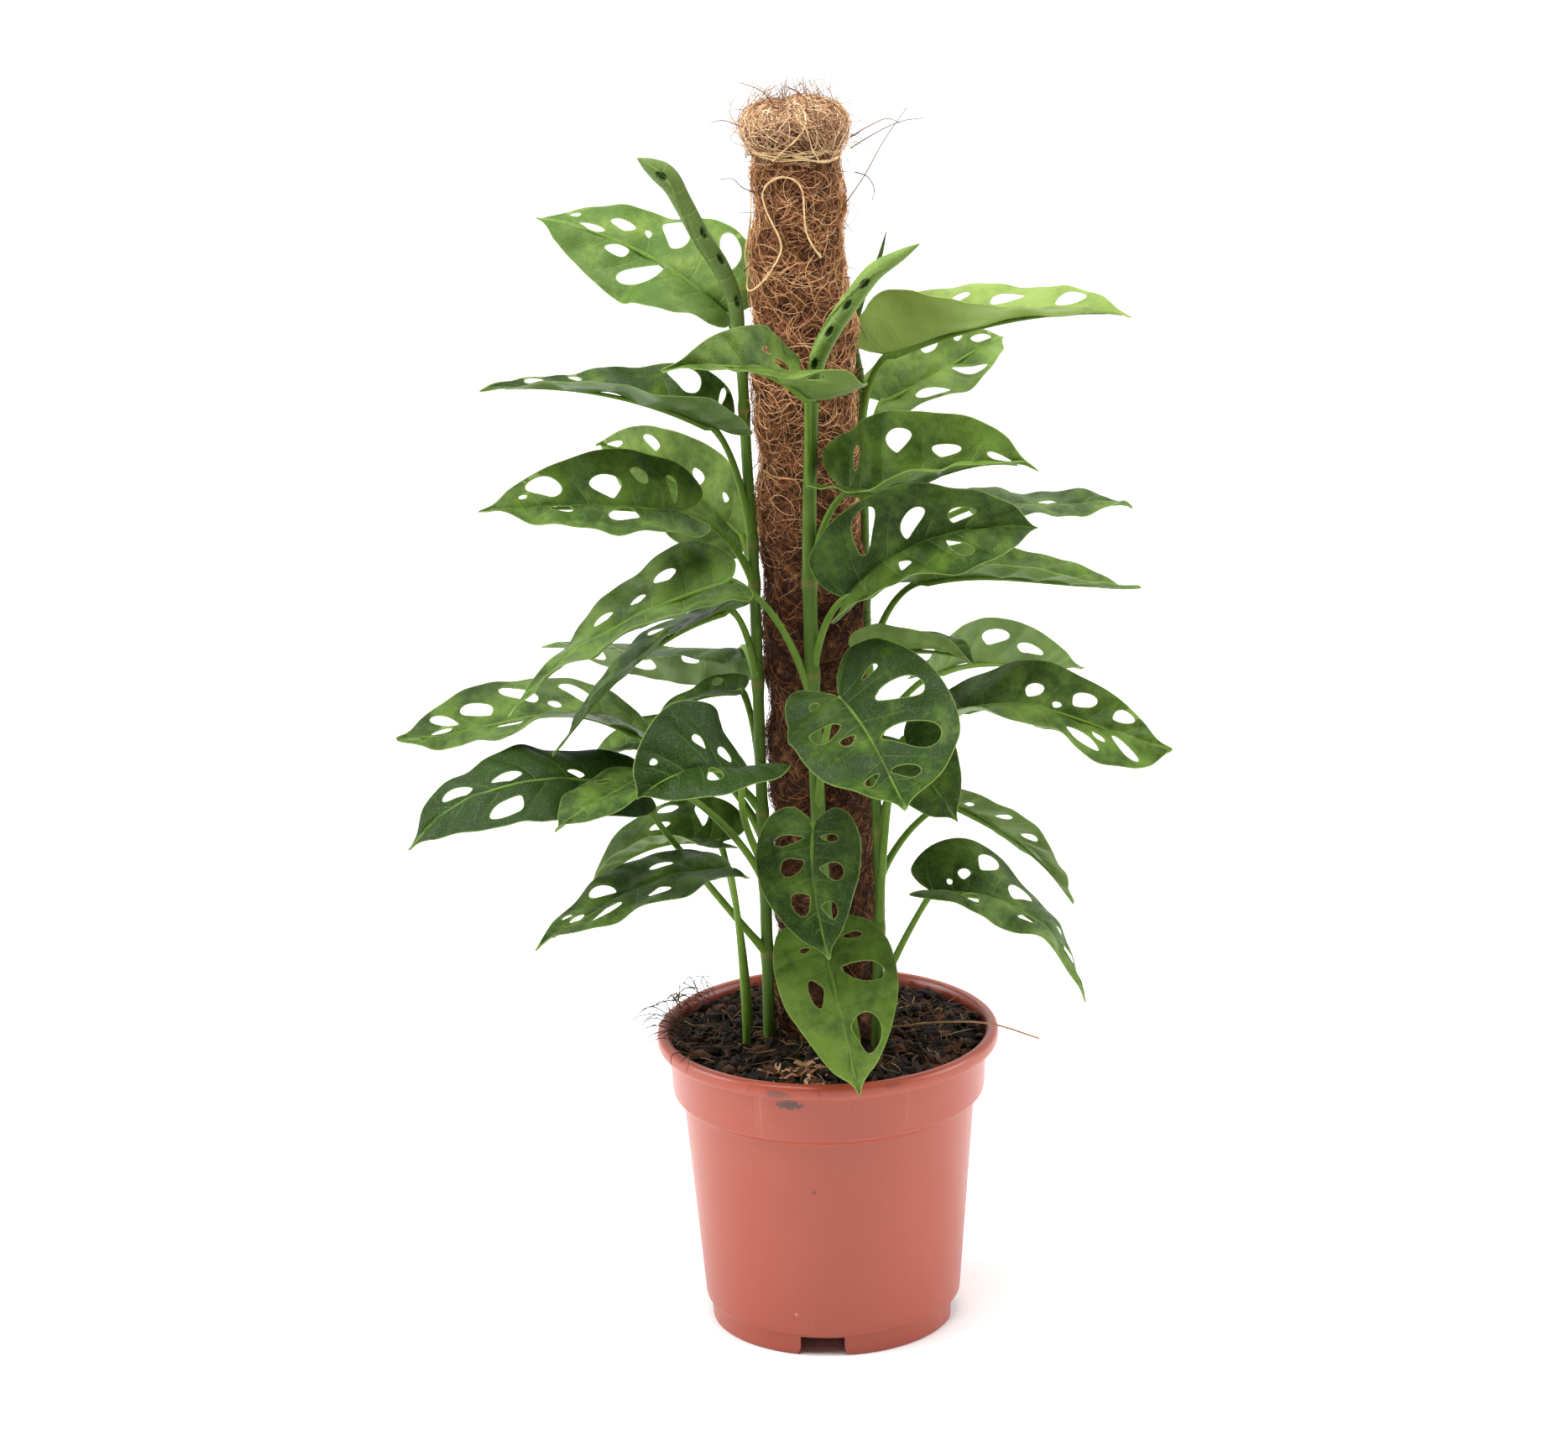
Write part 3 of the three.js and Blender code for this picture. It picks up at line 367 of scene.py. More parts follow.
def leaf_material():
    """Leaf skin from the values on a leaf's points, which leaf_attributes() explains."""
    n = Nodes("leaf_skin", roughness=0.42, specular=0.11)
    flat = n.attribute("flat", "Vector")
    panel, across, pitch = n.split(n.attribute("panel", "Vector"))
    side = n.math("ABSOLUTE", n.split(flat)[1])
    stalk, under = n.attribute("stalk"), n.attribute("under")
    young, shade = n.attribute("young"), n.attribute("shade")

    # veins and midrib by the distance from them in mm, and the pale margin by that from the rim
    from_vein = n.math("MULTIPLY", n.math("PINGPONG", panel, 0.5), pitch)
    vein = n.math("MULTIPLY", n.ramp(from_vein, 0.7, 0.1), n.ramp(across, 0.95, 0.2))
    midrib = n.ramp(side, 1.0, 0.4)
    ribs = n.math("MAXIMUM", n.math("MULTIPLY", vein, 0.35), n.math("MULTIPLY", midrib, 0.8))
    margin = n.ramp(n.attribute("rim"), 0.6, 0.1)

    patches = n.noise(flat, 0.045, 4.0)
    mottle = n.noise(flat, 0.25, 3.0)
    grain = n.node("ShaderNodeTexVoronoi", settings={"feature": "DISTANCE_TO_EDGE"}, Vector=flat, Scale=0.75)
    # shade lifts or lowers the whole leaf: partly its own tone, partly painted shade and painted light
    lightness = n.math("ADD", patches, n.math("MULTIPLY", shade, 0.4))
    lightness = n.ramp(n.math("ADD", lightness, n.swing(mottle, 0.3)), 0.28, 0.78)
    old = n.mix(lightness, rgb(18, 40, 11), rgb(84, 112, 36))
    new = n.mix(lightness, rgb(74, 102, 40), rgb(130, 152, 74))
    top = n.mix(young, old, new)
    top = n.layer(top, rgb(112, 140, 62), n.ramp(grain, 0.16, 0.0), 0.14)
    top = n.layer(top, rgb(128, 158, 80), ribs, 0.42)
    # the underside's colour, lighter on a young leaf: partly its own paler underside and partly painted light
    # for light shining through the thin blade
    pale = n.mix(young, rgb(106, 132, 76), rgb(158, 182, 92))
    back = n.layer(n.mix(0.45, top, pale), rgb(140, 164, 98), ribs, 0.4)
    blade = n.layer(n.mix(under, top, back), rgb(146, 168, 84), margin, 0.4)
    stem = n.mix(n.streaks((900, 900, 60)), rgb(66, 96, 28), rgb(112, 142, 54))
    colour = n.mix(stalk, blade, stem)

    height = n.math("SUBTRACT", n.ramp(grain, 0.0, 0.3), n.math("MULTIPLY", vein, 2.2))
    return n.finish(colour, n.bump(height, 0.35, 0.0003))


def stem_material():
    """Green stem skin with fine streaks, and dull tan rings where the scar value is high."""
    n = Nodes("stem_skin", roughness=0.45, specular=0.15)
    fine = n.streaks((900, 900, 70))
    broad = n.noise(n.place(), 45.0, 4.0)
    colour = n.mix(fine, rgb(52, 78, 22), rgb(90, 117, 42))
    colour = n.mix(n.ramp(broad, 0.5, 0.75), colour, rgb(88, 112, 42))
    colour = n.mix(n.attribute("scar"), colour, rgb(118, 104, 56))
    return n.finish(colour, n.bump(fine, 0.25, 0.0004))


def fibre_material(name, dark, middle, light):
    """Coir or other dry fibre: each fibre has its own tone, with a fine streak along it."""
    n = Nodes(name, roughness=0.75, specular=0.2)
    speckle = n.noise(n.place(), 900.0, 2.0)
    tone = n.math("ADD", n.attribute("tone"), n.swing(speckle, 0.4))
    colour = n.mix(n.ramp(tone, 0.0, 0.5), dark, n.mix(n.ramp(tone, 0.45, 1.0), middle, light))
    return n.finish(colour, n.bump(speckle, 0.4, 0.0003))


def soil_material():
    """Dark peat with warmer patches, crumbs of a high tone that are warm too, and pale specks."""
    n = Nodes("potting_soil", roughness=0.85, specular=0.3)
    clods = n.noise(n.place(), 160.0, 6.0)
    patches = n.noise(n.place(), 70.0, 3.0)
    specks = n.node("ShaderNodeTexVoronoi", Vector=n.place(), Scale=420.0)
    dark = n.mix(clods, rgb(4, 3, 2), rgb(34, 22, 15))
    warm = n.mix(clods, rgb(30, 16, 10), rgb(112, 70, 46))
    warmth = n.math("MAXIMUM", n.ramp(patches, 0.5, 0.7), n.ramp(n.attribute("tone"), 0.72, 0.95))
    colour = n.layer(n.mix(warmth, dark, warm), rgb(110, 84, 62), n.ramp(specks, 0.2, 0.05), 0.35)
    return n.finish(colour, n.bump(clods, 0.8, 0.002))


def pot_material():
    """Terracotta plastic: slightly cloudy, faintly dragged downwards, with the marks of POT_MARKS."""
    n = Nodes("terracotta_plastic", roughness=0.36, specular=0.5)
    cloud = n.noise(n.place(), 14.0, 5.0)
    fine = n.noise(n.place(), 700.0, 3.0)
    drag = n.streaks((120, 120, 9), 5.0)
    colour = n.mix(cloud, rgb(147, 61, 41), rgb(159, 69, 48))
    colour = n.layer(colour, rgb(196, 120, 100), n.ramp(drag, 0.62, 0.8), 0.3)
    colour = n.layer(colour, rgb(132, 64, 50), n.ramp(fine, 0.66, 0.8), 0.25)
    for centre, size, strength, tint in POT_MARKS:
        offset = n.vector_math("SUBTRACT", n.place(), ((np.array(centre) + AXIS) * MM).tolist())
        reach = n.length(n.vector_math("DIVIDE", offset, (np.array(size) * MM).tolist()))
        ragged = n.math("ADD", reach, n.swing(fine, 1.6))
        colour = n.layer(colour, tint, n.ramp(ragged, 1.1, 0.7), strength)
    return n.finish(colour, n.bump(n.math("ADD", fine, n.math("MULTIPLY", drag, 0.6)), 0.1, 0.0004))


def wood_material():
    """Wood with an upright grain, for the stake."""
    n = Nodes("stake_wood", roughness=0.7, specular=0.3)
    grain = n.streaks((300, 300, 14), 5.0)
    return n.finish(n.mix(grain, rgb(120, 86, 56), rgb(186, 148, 104)), n.bump(grain, 0.5, 0.0005))


# ---- stems ----
# nodes: the heights of a stem's swellings, where most petioles leave it
STEMS = {
    "front": dict(radius=4, nodes=[235, 345, 392], points=[
        (5, -38, ROOTED), (3, -37, 170), (-1, -33, 235), (-3, -31.5, 300), (-4, -31.5, 400),
        (-2, -33, 462), (-1, -35.5, 483)]),
    "left": dict(radius=3.1, nodes=[195, 232, 268, 335, 385, 405, 470], points=[
        (-29, -11, ROOTED), (-29, -10, 200), (-30, -9, 300), (-31, -8, 400), (-33, -3, 450),
        (-34, 1, 500)]),
    "right": dict(radius=3.3, nodes=[165, 215, 255, 285, 330, 370, 425, 455], points=[
        (26, 22, ROOTED), (25, 21, 230), (23, 20, 356), (23, 20, 430), (22, 20, 484)]),
    "low": dict(radius=3, nodes=[175, 210, 262, 300], points=[
        (23, -25, ROOTED), (25, -23, 180), (27, -22, 235), (26, -23, 275), (23, -24, 312)]),
}
for stem in STEMS.values():
    stem["path"] = smooth(stem["points"], 24, 2.0)


def add_stem(name, stem, material):
    """A vine with a swelling and a pale ring at each node."""
    path = stem["path"]
    sides = 16
    t = np.linspace(0, 1, len(path))
    near = [np.abs(path[:, 2] - height) for height in stem["nodes"]]
    swelling = sum(0.55 * hill(d, 4.5) for d in near)
    ring = np.clip(sum(hill(d, 1.4) for d in near), 0, 1)
    radii = stem["radius"] * (1 - 0.18 * t) + swelling
    scar = np.repeat(ring, sides) * 0.6
    add_piece(f"vine_{name}", *tube(path, radii, sides), material, "stem", [f"stem_{name}"], {"scar": scar})


# ---- leaves ----
# One half of the outline, from the notch at the petiole to the tip: [along, across] in parts of
# the leaf's length and half width. The side veins run to its points from FIRST_VEIN on.
HALF = np.array([
    (0, 0), (-0.07, 0.2), (-0.1, 0.46), (-0.03, 0.76), (0.12, 0.96), (0.29, 1), (0.46, 0.92),
    (0.63, 0.72), (0.79, 0.45), (0.91, 0.19), (1, 0),
])
FIRST_VEIN = 3
VEIN_ROOTS = [0, 0.07, 0.19, 0.34, 0.5, 0.67, 0.83, 1]  # where side veins 0 to 7 leave the midrib
VEIN_BEND = 0.06  # how far side veins bow towards the base, in parts of the leaf's length
LOBES_END, TIP = -FIRST_VEIN, len(HALF) - 1 - FIRST_VEIN  # the outline's first and last vein number
EVEN_FOLD = (15, 15)  # of leaves that give no other, in degrees
YOUTH = 0.1

# distances between the points inside a blade, along its outline and along a hole's rim
SPACING = 1.8
EDGE_STEP = 1.2
HOLE_STEP = 1.1

SMALL_HOLE = 0.12  # half size in vein numbers, up to which a hole leaves the veins where they are
RIB_REACH = 0.9  # how far the rib under a blade runs, in parts of the leaf's length

# how high a blade's broad swellings, wavy edge, raised panels and sunken midrib are
RELIEF = {"swell": 0.85, "edge": 1.3, "panel": 1.6, "groove": 0.8}

# base and tip are the places of the blade's ends. roll turns it about the line between them from
# face-up; half is the width of its left and right half, fold how far each half rises, fold_ahead
# how far from the middle of its length on, and curl how much more its edge rises; arch is the
# midrib's height over the line at a third and two thirds, bow its sideways bend, twist turns the
# blade on from base to tip, lobe lengthens the part behind the petiole, and belly shifts each
# edge's outline towards the tip.
# The petiole leaves a stem at a height or the soil at a root, by way of an optional via.
# young is 1 on a fresh pale leaf and YOUTH where it isn't given, and shade makes a leaf lighter or darker
# all over: partly its own tone and partly painted shade and painted light, set leaf by leaf for how
# it lies in the light.
# Holes of the left and right half: (vein number at the centre, part of the way from the midrib
# to the edge, and half of the hole's size in each).
LEAVES = {
    "leaf_01": dict(
        base=(-40, 20, 512), tip=(-133, 61, 553), roll=-33, half=(29, 34), fold=(42, 45), arch=(8, 9),
        fold_ahead=(-14, -10), bow=-8, lobe=0.5, belly=(0.08, 0), stem=("left", 470), shade=-0.4, young=0.9,
        left=[(3.1, 0.4, 0.4, 0.36), (4.3, 0.22, 0.34, 0.16)],
        right=[(5.35, 0.2, 0.4, 0.13), (4.45, 0.5, 0.33, 0.15), (5.65, 0.75, 0.16, 0.12),
               (3.8, 0.5, 0.1, 0.08), (3.05, 0.62, 0.4, 0.27), (1.5, 0.66, 0.42, 0.24)]),
    "leaf_03": dict(
        base=(-38, 7, 326), tip=(-83, 23, 305), roll=-14, half=(20, 15), fold=(22, 8), arch=(8, 6),
        lobe=0.3, stem=("left", 285), shade=-0.5,
        left=[(2.6, 0.5, 0.3, 0.2)],
        right=[(2.2, 0.55, 0.34, 0.22)]),
    "leaf_04": dict(
        base=(36, 13, 492), tip=(154, 3, 512), roll=-5, half=(32, 34), fold=(55, 69), curl=(-10, 5),
        fold_ahead=(30, 23), arch=(9, 11), bow=2, belly=(0.06, -0.13), stem=("right", 455),
        young=1, shade=0.45,
        left=[(4.85, 0.7, 0.36, 0.22), (2.3, 0.67, 0.2, 0.1), (3.35, 0.62, 0.37, 0.18)]),
    "leaf_07": dict(
        base=(-3, -49, 488), tip=(-71, -116, 522), roll=-18, half=(36, 24), fold=(34, 38), curl=(-5, 14),
        arch=(14, 17), bow=8, twist=-40, stem=("front", 430), young=0.3,
        left=[(2.2, 0.45, 0.2, 0.14)],
        right=[(2, 0.4, 0.5, 0.09), (3.15, 0.48, 0.24, 0.08)]),
    "leaf_08": dict(
        base=(-49, -8, 464), tip=(-159, -44, 495), roll=-16, half=(34, 27), fold=(38, 50), curl=(0, 4),
        fold_ahead=(37, -6), arch=(14, 16), bow=5, lobe=0.9, belly=(-0.1, -0.05), stem=("left", 405),
        shade=-0.4,
        right=[(1.5, 0.66, 0.46, 0.24), (0.25, 0.7, 0.16, 0.2), (5.4, 0.6, 0.36, 0.26),
               (4.2, 0.8, 0.14, 0.12)]),
    "leaf_09": dict(
        base=(-36, 29, 398), tip=(-109, 96, 428), roll=-35, half=(27, 26), fold=(15, 42), curl=(0, 7),
        arch=(3, 12), bow=-5, belly=(0, 0.07), stem=("left", 372), young=0.5,
        right=[(5.9, 0.6, 0.42, 0.17), (4.25, 0.67, 0.29, 0.16), (2.8, 0.37, 0.26, 0.13),
               (1.6, 0.39, 0.15, 0.08)]),
    "leaf_10": dict(
        base=(-64, -28, 427), tip=(-161, -56, 439), roll=-28, half=(27, 30), fold=(18, 25), arch=(8, 2),
        stem=("left", 385), shade=0.1,
        left=[(4.5, 0.28, 0.34, 0.2), (2.7, 0.36, 0.5, 0.24), (6.15, 0.22, 0.2, 0.12)],
        right=[(4.6, 0.59, 0.5, 0.3), (3.0, 0.38, 0.48, 0.22), (5.4, 0.55, 0.16, 0.08),
               (1.85, 0.54, 0.3, 0.14), (0.8, 0.4, 0.22, 0.26)]),
    "leaf_11": dict(
        base=(-42, -45, 398), tip=(-151, -73, 342), half=(34, 33), fold=(-12, 12), curl=(40, 14),
        arch=(13, 14), twist=29, lobe=0.5, belly=(0, -0.15), stem=("front", 330), shade=0.1,
        right=[(2.35, 0.51, 0.35, 0.12), (3.15, 0.35, 0.22, 0.08), (4.05, 0.38, 0.28, 0.1)]),
    "leaf_12": dict(
        base=(-43, -26, 378), tip=(-130, -50, 313), roll=10, half=(21, 21), fold=(14, 8), arch=(17, 10),
        stem=("left", 335), shade=-0.3, right=[(2.5, 0.5, 0.25, 0.16)]),
    "leaf_13": dict(
        base=(-38, 42, 336), tip=(-139, 95, 324), roll=18, half=(30, 32), fold=(-3, -16), curl=(-16, -40),
        arch=(1, 0), twist=17, stem=("left", 335), via=(-36, 16, 350),
        right=[(5.2, 0.62, 0.36, 0.24), (3.85, 0.66, 0.34, 0.2), (2.6, 0.4, 0.3, 0.16)]),
    "leaf_14": dict(
        base=(-89, -10, 309), tip=(-208, -4, 310), roll=2, half=(33, 32), fold=(7, 19), curl=(14, -10),
        arch=(28, -6), bow=-5, twist=-49, belly=(0, 0.1), stem=("left", 268), shade=0,
        left=[(4.0, 0.24, 0.36, 0.12)],
        right=[(5.25, 0.56, 0.26, 0.28), (4.35, 0.5, 0.38, 0.2), (3.15, 0.58, 0.28, 0.26),
               (2.8, 0.22, 0.16, 0.1), (1.95, 0.54, 0.3, 0.26), (5.75, 0.21, 0.35, 0.1)]),
    "leaf_15": dict(
        base=(-94, -39, 294), tip=(-202, -65, 273), roll=-11, half=(31, 29), fold=(-5, 12),
        curl=(-10, -17), arch=(19, 25), bow=-5, twist=-10, belly=(0.08, 0.03), stem=("left", 195), shade=-0.8,
        via=(-58, -24, 236), left=[(3.6, 0.59, 0.5, 0.25)],
        right=[(3.8, 0.22, 0.42, 0.12), (4.95, 0.42, 0.36, 0.28), (2.0, 0.16, 0.26, 0.09)]),
    "leaf_16": dict(
        base=(-84, -62, 306), tip=(-129, -99, 293), half=(23, 23), fold=(9, 6), curl=(-6, -13),
        arch=(3, 2), stem=("left", 232), via=(-48, -44, 284), right=[(2.5, 0.5, 0.3, 0.18)]),
    "leaf_17": dict(
        base=(-35, -86, 316), tip=(-88, -123, 315), roll=3, half=(32, 34), fold=(12, 46), curl=(-30, 23),
        arch=(7, 15), bow=5, twist=-47, lobe=0.5, belly=(0.06, 0.16), stem=("left", 240), shade=-0.8,
        via=(-46, -60, 292),
        left=[(3.4, 0.45, 0.36, 0.21)],
        right=[(2.9, 0.42, 0.25, 0.12), (4.95, 0.61, 0.18, 0.08), (1.6, 0.24, 0.46, 0.12)]),
    "leaf_18": dict(
        base=(-74, 18, 297), tip=(-117, 40, 282), roll=-15, half=(19, 19), stem=("left", 255), shade=-0.1),
    "leaf_19": dict(
        base=(-51, 12, 246), tip=(-119, 6, 222), roll=10, half=(24, 26), fold=(15, 37), curl=(0, 6),
        arch=(15, 12), bow=-5, twist=29, lobe=1.2, root=(-38, 1),
        right=[(2.3, 0.8, 0.36, 0.11), (1.3, 0.56, 0.23, 0.24), (2.95, 0.39, 0.42, 0.1)]),
    "leaf_20": dict(
        base=(-46, -49, 253), tip=(-141, -89, 229), roll=-2, half=(28, 27), fold=(10, 9), curl=(-5, -6),
        arch=(16, 6), twist=-14, lobe=0.3, root=(-40, -17), shade=-0.1,
        left=[(4.5, 0.53, 0.48, 0.13), (3.0, 0.5, 0.35, 0.13)],
        right=[(2.4, 0.41, 0.4, 0.13), (4.2, 0.5, 0.3, 0.3), (5.45, 0.22, 0.27, 0.13),
               (5.35, 0.68, 0.2, 0.1)]),
    "leaf_21": dict(
        base=(9, -75, 347), tip=(38, -147, 316), roll=11, half=(44, 36), fold=(33, -3), curl=(-11, 3),
        arch=(5, -11), bow=4, twist=-17, lobe=2.2, belly=(0.15, 0.04), stem=("front", 275), shade=-0.3,
        left=[(1.65, 0.54, 0.4, 0.26), (3.3, 0.47, 0.55, 0.34), (0.6, 0.47, 0.14, 0.13),
              (4.85, 0.38, 0.31, 0.3)],
        right=[(1.85, 0.48, 0.5, 0.24), (2.8, 0.3, 0.25, 0.12), (0.05, 0.44, 0.12, 0.09),
               (4.7, 0.47, 0.18, 0.22)]),
    "leaf_22": dict(
        base=(39, -42, 315), tip=(64, -90, 288), roll=26, half=(20, 23), fold=(15, 11), curl=(-10, -3),
        arch=(0, 2), lobe=1.3, stem=("low", 210), shade=-0.2),
    "leaf_23": dict(
        base=(63, 34, 257), tip=(125, 52, 194), roll=-7, half=(24, 24), fold=(8, 20), curl=(-23, 14),
        arch=(6, 12), twist=15, stem=("right", 215), shade=0.3,
        right=[(0.95, 0.35, 0.2, 0.16), (2.15, 0.6, 0.2, 0.18), (3.4, 0.2, 0.13, 0.06),
               (3.4, 0.59, 0.2, 0.18)]),
    "leaf_24": dict(
        base=(52, -36, 234), tip=(126, -75, 189), roll=-15, half=(31, 26), fold=(46, 27), curl=(-5, -46),
        fold_ahead=(6, -2), arch=(25, 21), bow=9, twist=-18, lobe=0.8, belly=(-0.08, -0.1),
        stem=("low", 175), via=(36, -31, 206),
        left=[(2, 0.66, 0.3, 0.18), (1.5, 0.36, 0.2, 0.1), (1.05, 0.2, 0.12, 0.06),
              (3.1, 0.5, 0.36, 0.26), (4.5, 0.66, 0.16, 0.12), (5.4, 0.45, 0.3, 0.3)],
        right=[(2, 0.48, 0.36, 0.24), (4, 0.36, 0.34, 0.14)]),
    "leaf_25": dict(
        base=(68, -25, 323), tip=(170, -36, 305), roll=10, half=(26, 32), fold=(25, -2), curl=(0, 34),
        arch=(20, -4), bow=5, twist=51, belly=(0, 0.16), stem=("low", 262),
        left=[(2.7, 0.34, 0.27, 0.17), (3.95, 0.5, 0.34, 0.22), (3.5, 0.15, 0.14, 0.08),
              (5.0, 0.66, 0.33, 0.22)],
        right=[(3.6, 0.55, 0.42, 0.22), (4.35, 0.41, 0.16, 0.12), (5.0, 0.56, 0.26, 0.3)]),
    "leaf_26": dict(
        base=(58, 31, 325), tip=(133, 81, 311), roll=-24, half=(24, 26), fold=(13, 35), curl=(4, 28),
        arch=(10, -2), stem=("right", 285), right=[(2.6, 0.6, 0.5, 0.18), (4.15, 0.52, 0.62, 0.14)]),
    "leaf_27": dict(
        base=(24, -32, 357), tip=(75, -59, 358), roll=-12, half=(23, 23), fold=(22, 28), curl=(0, 15),
        arch=(3, 6), bow=3, twist=-10, lobe=1.2, stem=("low", 300), young=0.3),
    "leaf_28": dict(
        base=(50, -12, 385), tip=(156, -25, 385), roll=-4, half=(23, 22), fold=(19, 20), curl=(17, 16),
        arch=(10, -4), stem=("right", 330)),
    "leaf_29": dict(
        base=(80, 41, 408), tip=(158, 71, 397), half=(23, 24), fold=(8, 9), curl=(-7, -20), arch=(-1, 2),
        stem=("right", 370), left=[(3.65, 0.15, 0.4, 0.08)]),
    "leaf_30": dict(
        base=(13, -46, 388), tip=(105, -80, 431), roll=32, half=(32, 32), fold=(63, -5), curl=(5, 47),
        arch=(17, 17), bow=6, twist=31, lobe=0.4, belly=(0.12, 0.15), stem=("front", 345), shade=-0.25,
        left=[(1.85, 0.55, 0.36, 0.3), (3.25, 0.4, 0.3, 0.22), (4.5, 0.5, 0.34, 0.2)],
        right=[(4.3, 0.46, 0.24, 0.26), (2.75, 0.32, 0.22, 0.12)]),
    "leaf_31": dict(
        base=(15, -42, 440), tip=(105, -81, 459), half=(36, 27), fold=(68, 20), curl=(28, -9),
        arch=(-6, 18), bow=-3, twist=8, lobe=1.6, stem=("front", 392), shade=0.15,
        left=[(0.6, 0.49, 0.21, 0.19), (2.6, 0.62, 0.48, 0.16), (4.15, 0.39, 0.48, 0.11),
              (5.8, 0.33, 0.48, 0.14)]),
    "leaf_32": dict(
        base=(34, 47, 460), tip=(96, 102, 477), roll=26, half=(21, 24), fold=(19, 19), curl=(-11, 6),
        arch=(2, 10), bow=-4, twist=13, belly=(0.06, 0.04), stem=("right", 425), young=0.4,
        left=[(3.1, 0.71, 0.44, 0.18), (4.3, 0.73, 0.21, 0.1), (5.5, 0.58, 0.58, 0.2)],
        right=[(3.8, 0.53, 0.37, 0.34), (1.75, 0.6, 0.5, 0.28)]),
    "leaf_33": dict(
        base=(-5, -66, 281), tip=(1, -99, 223), roll=22, half=(25, 27), fold=(8, 14), curl=(0, -5),
        arch=(10, 3), bow=-3, stem=("front", 250), shade=-0.4,
        left=[(1.3, 0.35, 0.22, 0.17), (2.95, 0.45, 0.42, 0.25), (4.6, 0.48, 0.37, 0.26)],
        right=[(1.35, 0.43, 0.27, 0.27), (2.65, 0.36, 0.45, 0.22), (4.25, 0.38, 0.54, 0.24)]),
    "leaf_34": dict(
        base=(-3, -57, 222), tip=(14, -118, 160), roll=8, half=(32, 27), fold=(3, 3), arch=(5, 2),
        lobe=0.7, root=(16, -40), shade=0.2,
        left=[(0.75, 0.5, 0.2, 0.17), (2.4, 0.49, 0.45, 0.32), (4.5, 0.54, 0.68, 0.34)],
        right=[(1.2, 0.36, 0.14, 0.1), (3.0, 0.36, 0.58, 0.15)]),
    "leaf_35": dict(
        base=(-3, 50, 395), tip=(-5, 145, 375), half=(20, 20), stem=("right", 350),
        left=[(2.5, 0.5, 0.35, 0.22)], right=[(1.5, 0.5, 0.3, 0.22)]),
    "leaf_36": dict(
        base=(0, 50, 300), tip=(-3, 150, 255), half=(20, 20), arch=(8, 8), stem=("right", 255),
        left=[(1.5, 0.5, 0.3, 0.2)], right=[(2.5, 0.5, 0.35, 0.22)]),
    "leaf_37": dict(
        base=(2, 55, 205), tip=(2, 150, 165), half=(20, 20), arch=(8, 8), stem=("right", 165),
        left=[(2.5, 0.5, 0.35, 0.2)], right=[(3.5, 0.5, 0.3, 0.2)]),
}


def outline_point(vein, belly):
    """Where a vein number meets the outline, from LOBES_END at the petiole to TIP."""
    place = np.clip(np.asarray(vein, float) + FIRST_VEIN, 0, len(HALF) - 1)
    first = np.minimum(place.astype(int), len(HALF) - 2)
    t = (place - first)[..., None]
    padded = np.vstack([2 * HALF[0] - HALF[1], HALF, 2 * HALF[-1] - HALF[-2]])
    p0, p1, p2, p3 = (padded[first + k] for k in range(4))
    edge = 0.5 * (2 * p1 + (p2 - p0) * t + (2 * p0 - 5 * p1 + 4 * p2 - p3) * t**2
                  + (3 * p1 - p0 - 3 * p2 + p3) * t**3)
    x, y = edge[..., 0], edge[..., 1]
    drip = 1 - 0.42 * smoothstep(0.84, 0.96, x)
    return np.stack([x + belly * 4 * np.maximum(x, 0) * (1 - x), y * drip], -1)


def vein_root(vein):
    """Where a vein number meets the midrib, in parts of the leaf's length."""
    return np.interp(vein, range(len(VEIN_ROOTS)), VEIN_ROOTS)


def vein_point(vein, across, belly):
    """The flat place a part of the way out along a vein."""
    vein, across = np.broadcast_arrays(np.asarray(vein, float), across)
    edge = outline_point(vein, belly)
    root = vein_root(vein)
    bend = VEIN_BEND * across * (1 - across)
    return np.stack([root * (1 - across) + edge[..., 0] * across - bend, edge[..., 1] * across], -1)


def vein_numbers(x, y, belly):
    """The vein number and part of the way out of flat places, found by halving the range of numbers."""
    low, high = np.full(x.shape, -2.0), np.full(x.shape, 6.97)
    for _ in range(26):
        middle = (low + high) / 2
        edge = outline_point(middle, belly)
        across = np.clip(y / np.maximum(edge[:, 1], 1e-6), 0, 1)
        root = vein_root(middle)
        ahead = x + VEIN_BEND * across * (1 - across) - root
        passed = (edge[:, 0] - root) * y - edge[:, 1] * ahead > 0
        high = np.where(passed, middle, high)
        low = np.where(passed, low, middle)
    edge = outline_point(low, belly)
    return low, np.clip(y / np.maximum(edge[:, 1], 1e-6), 0, 1)


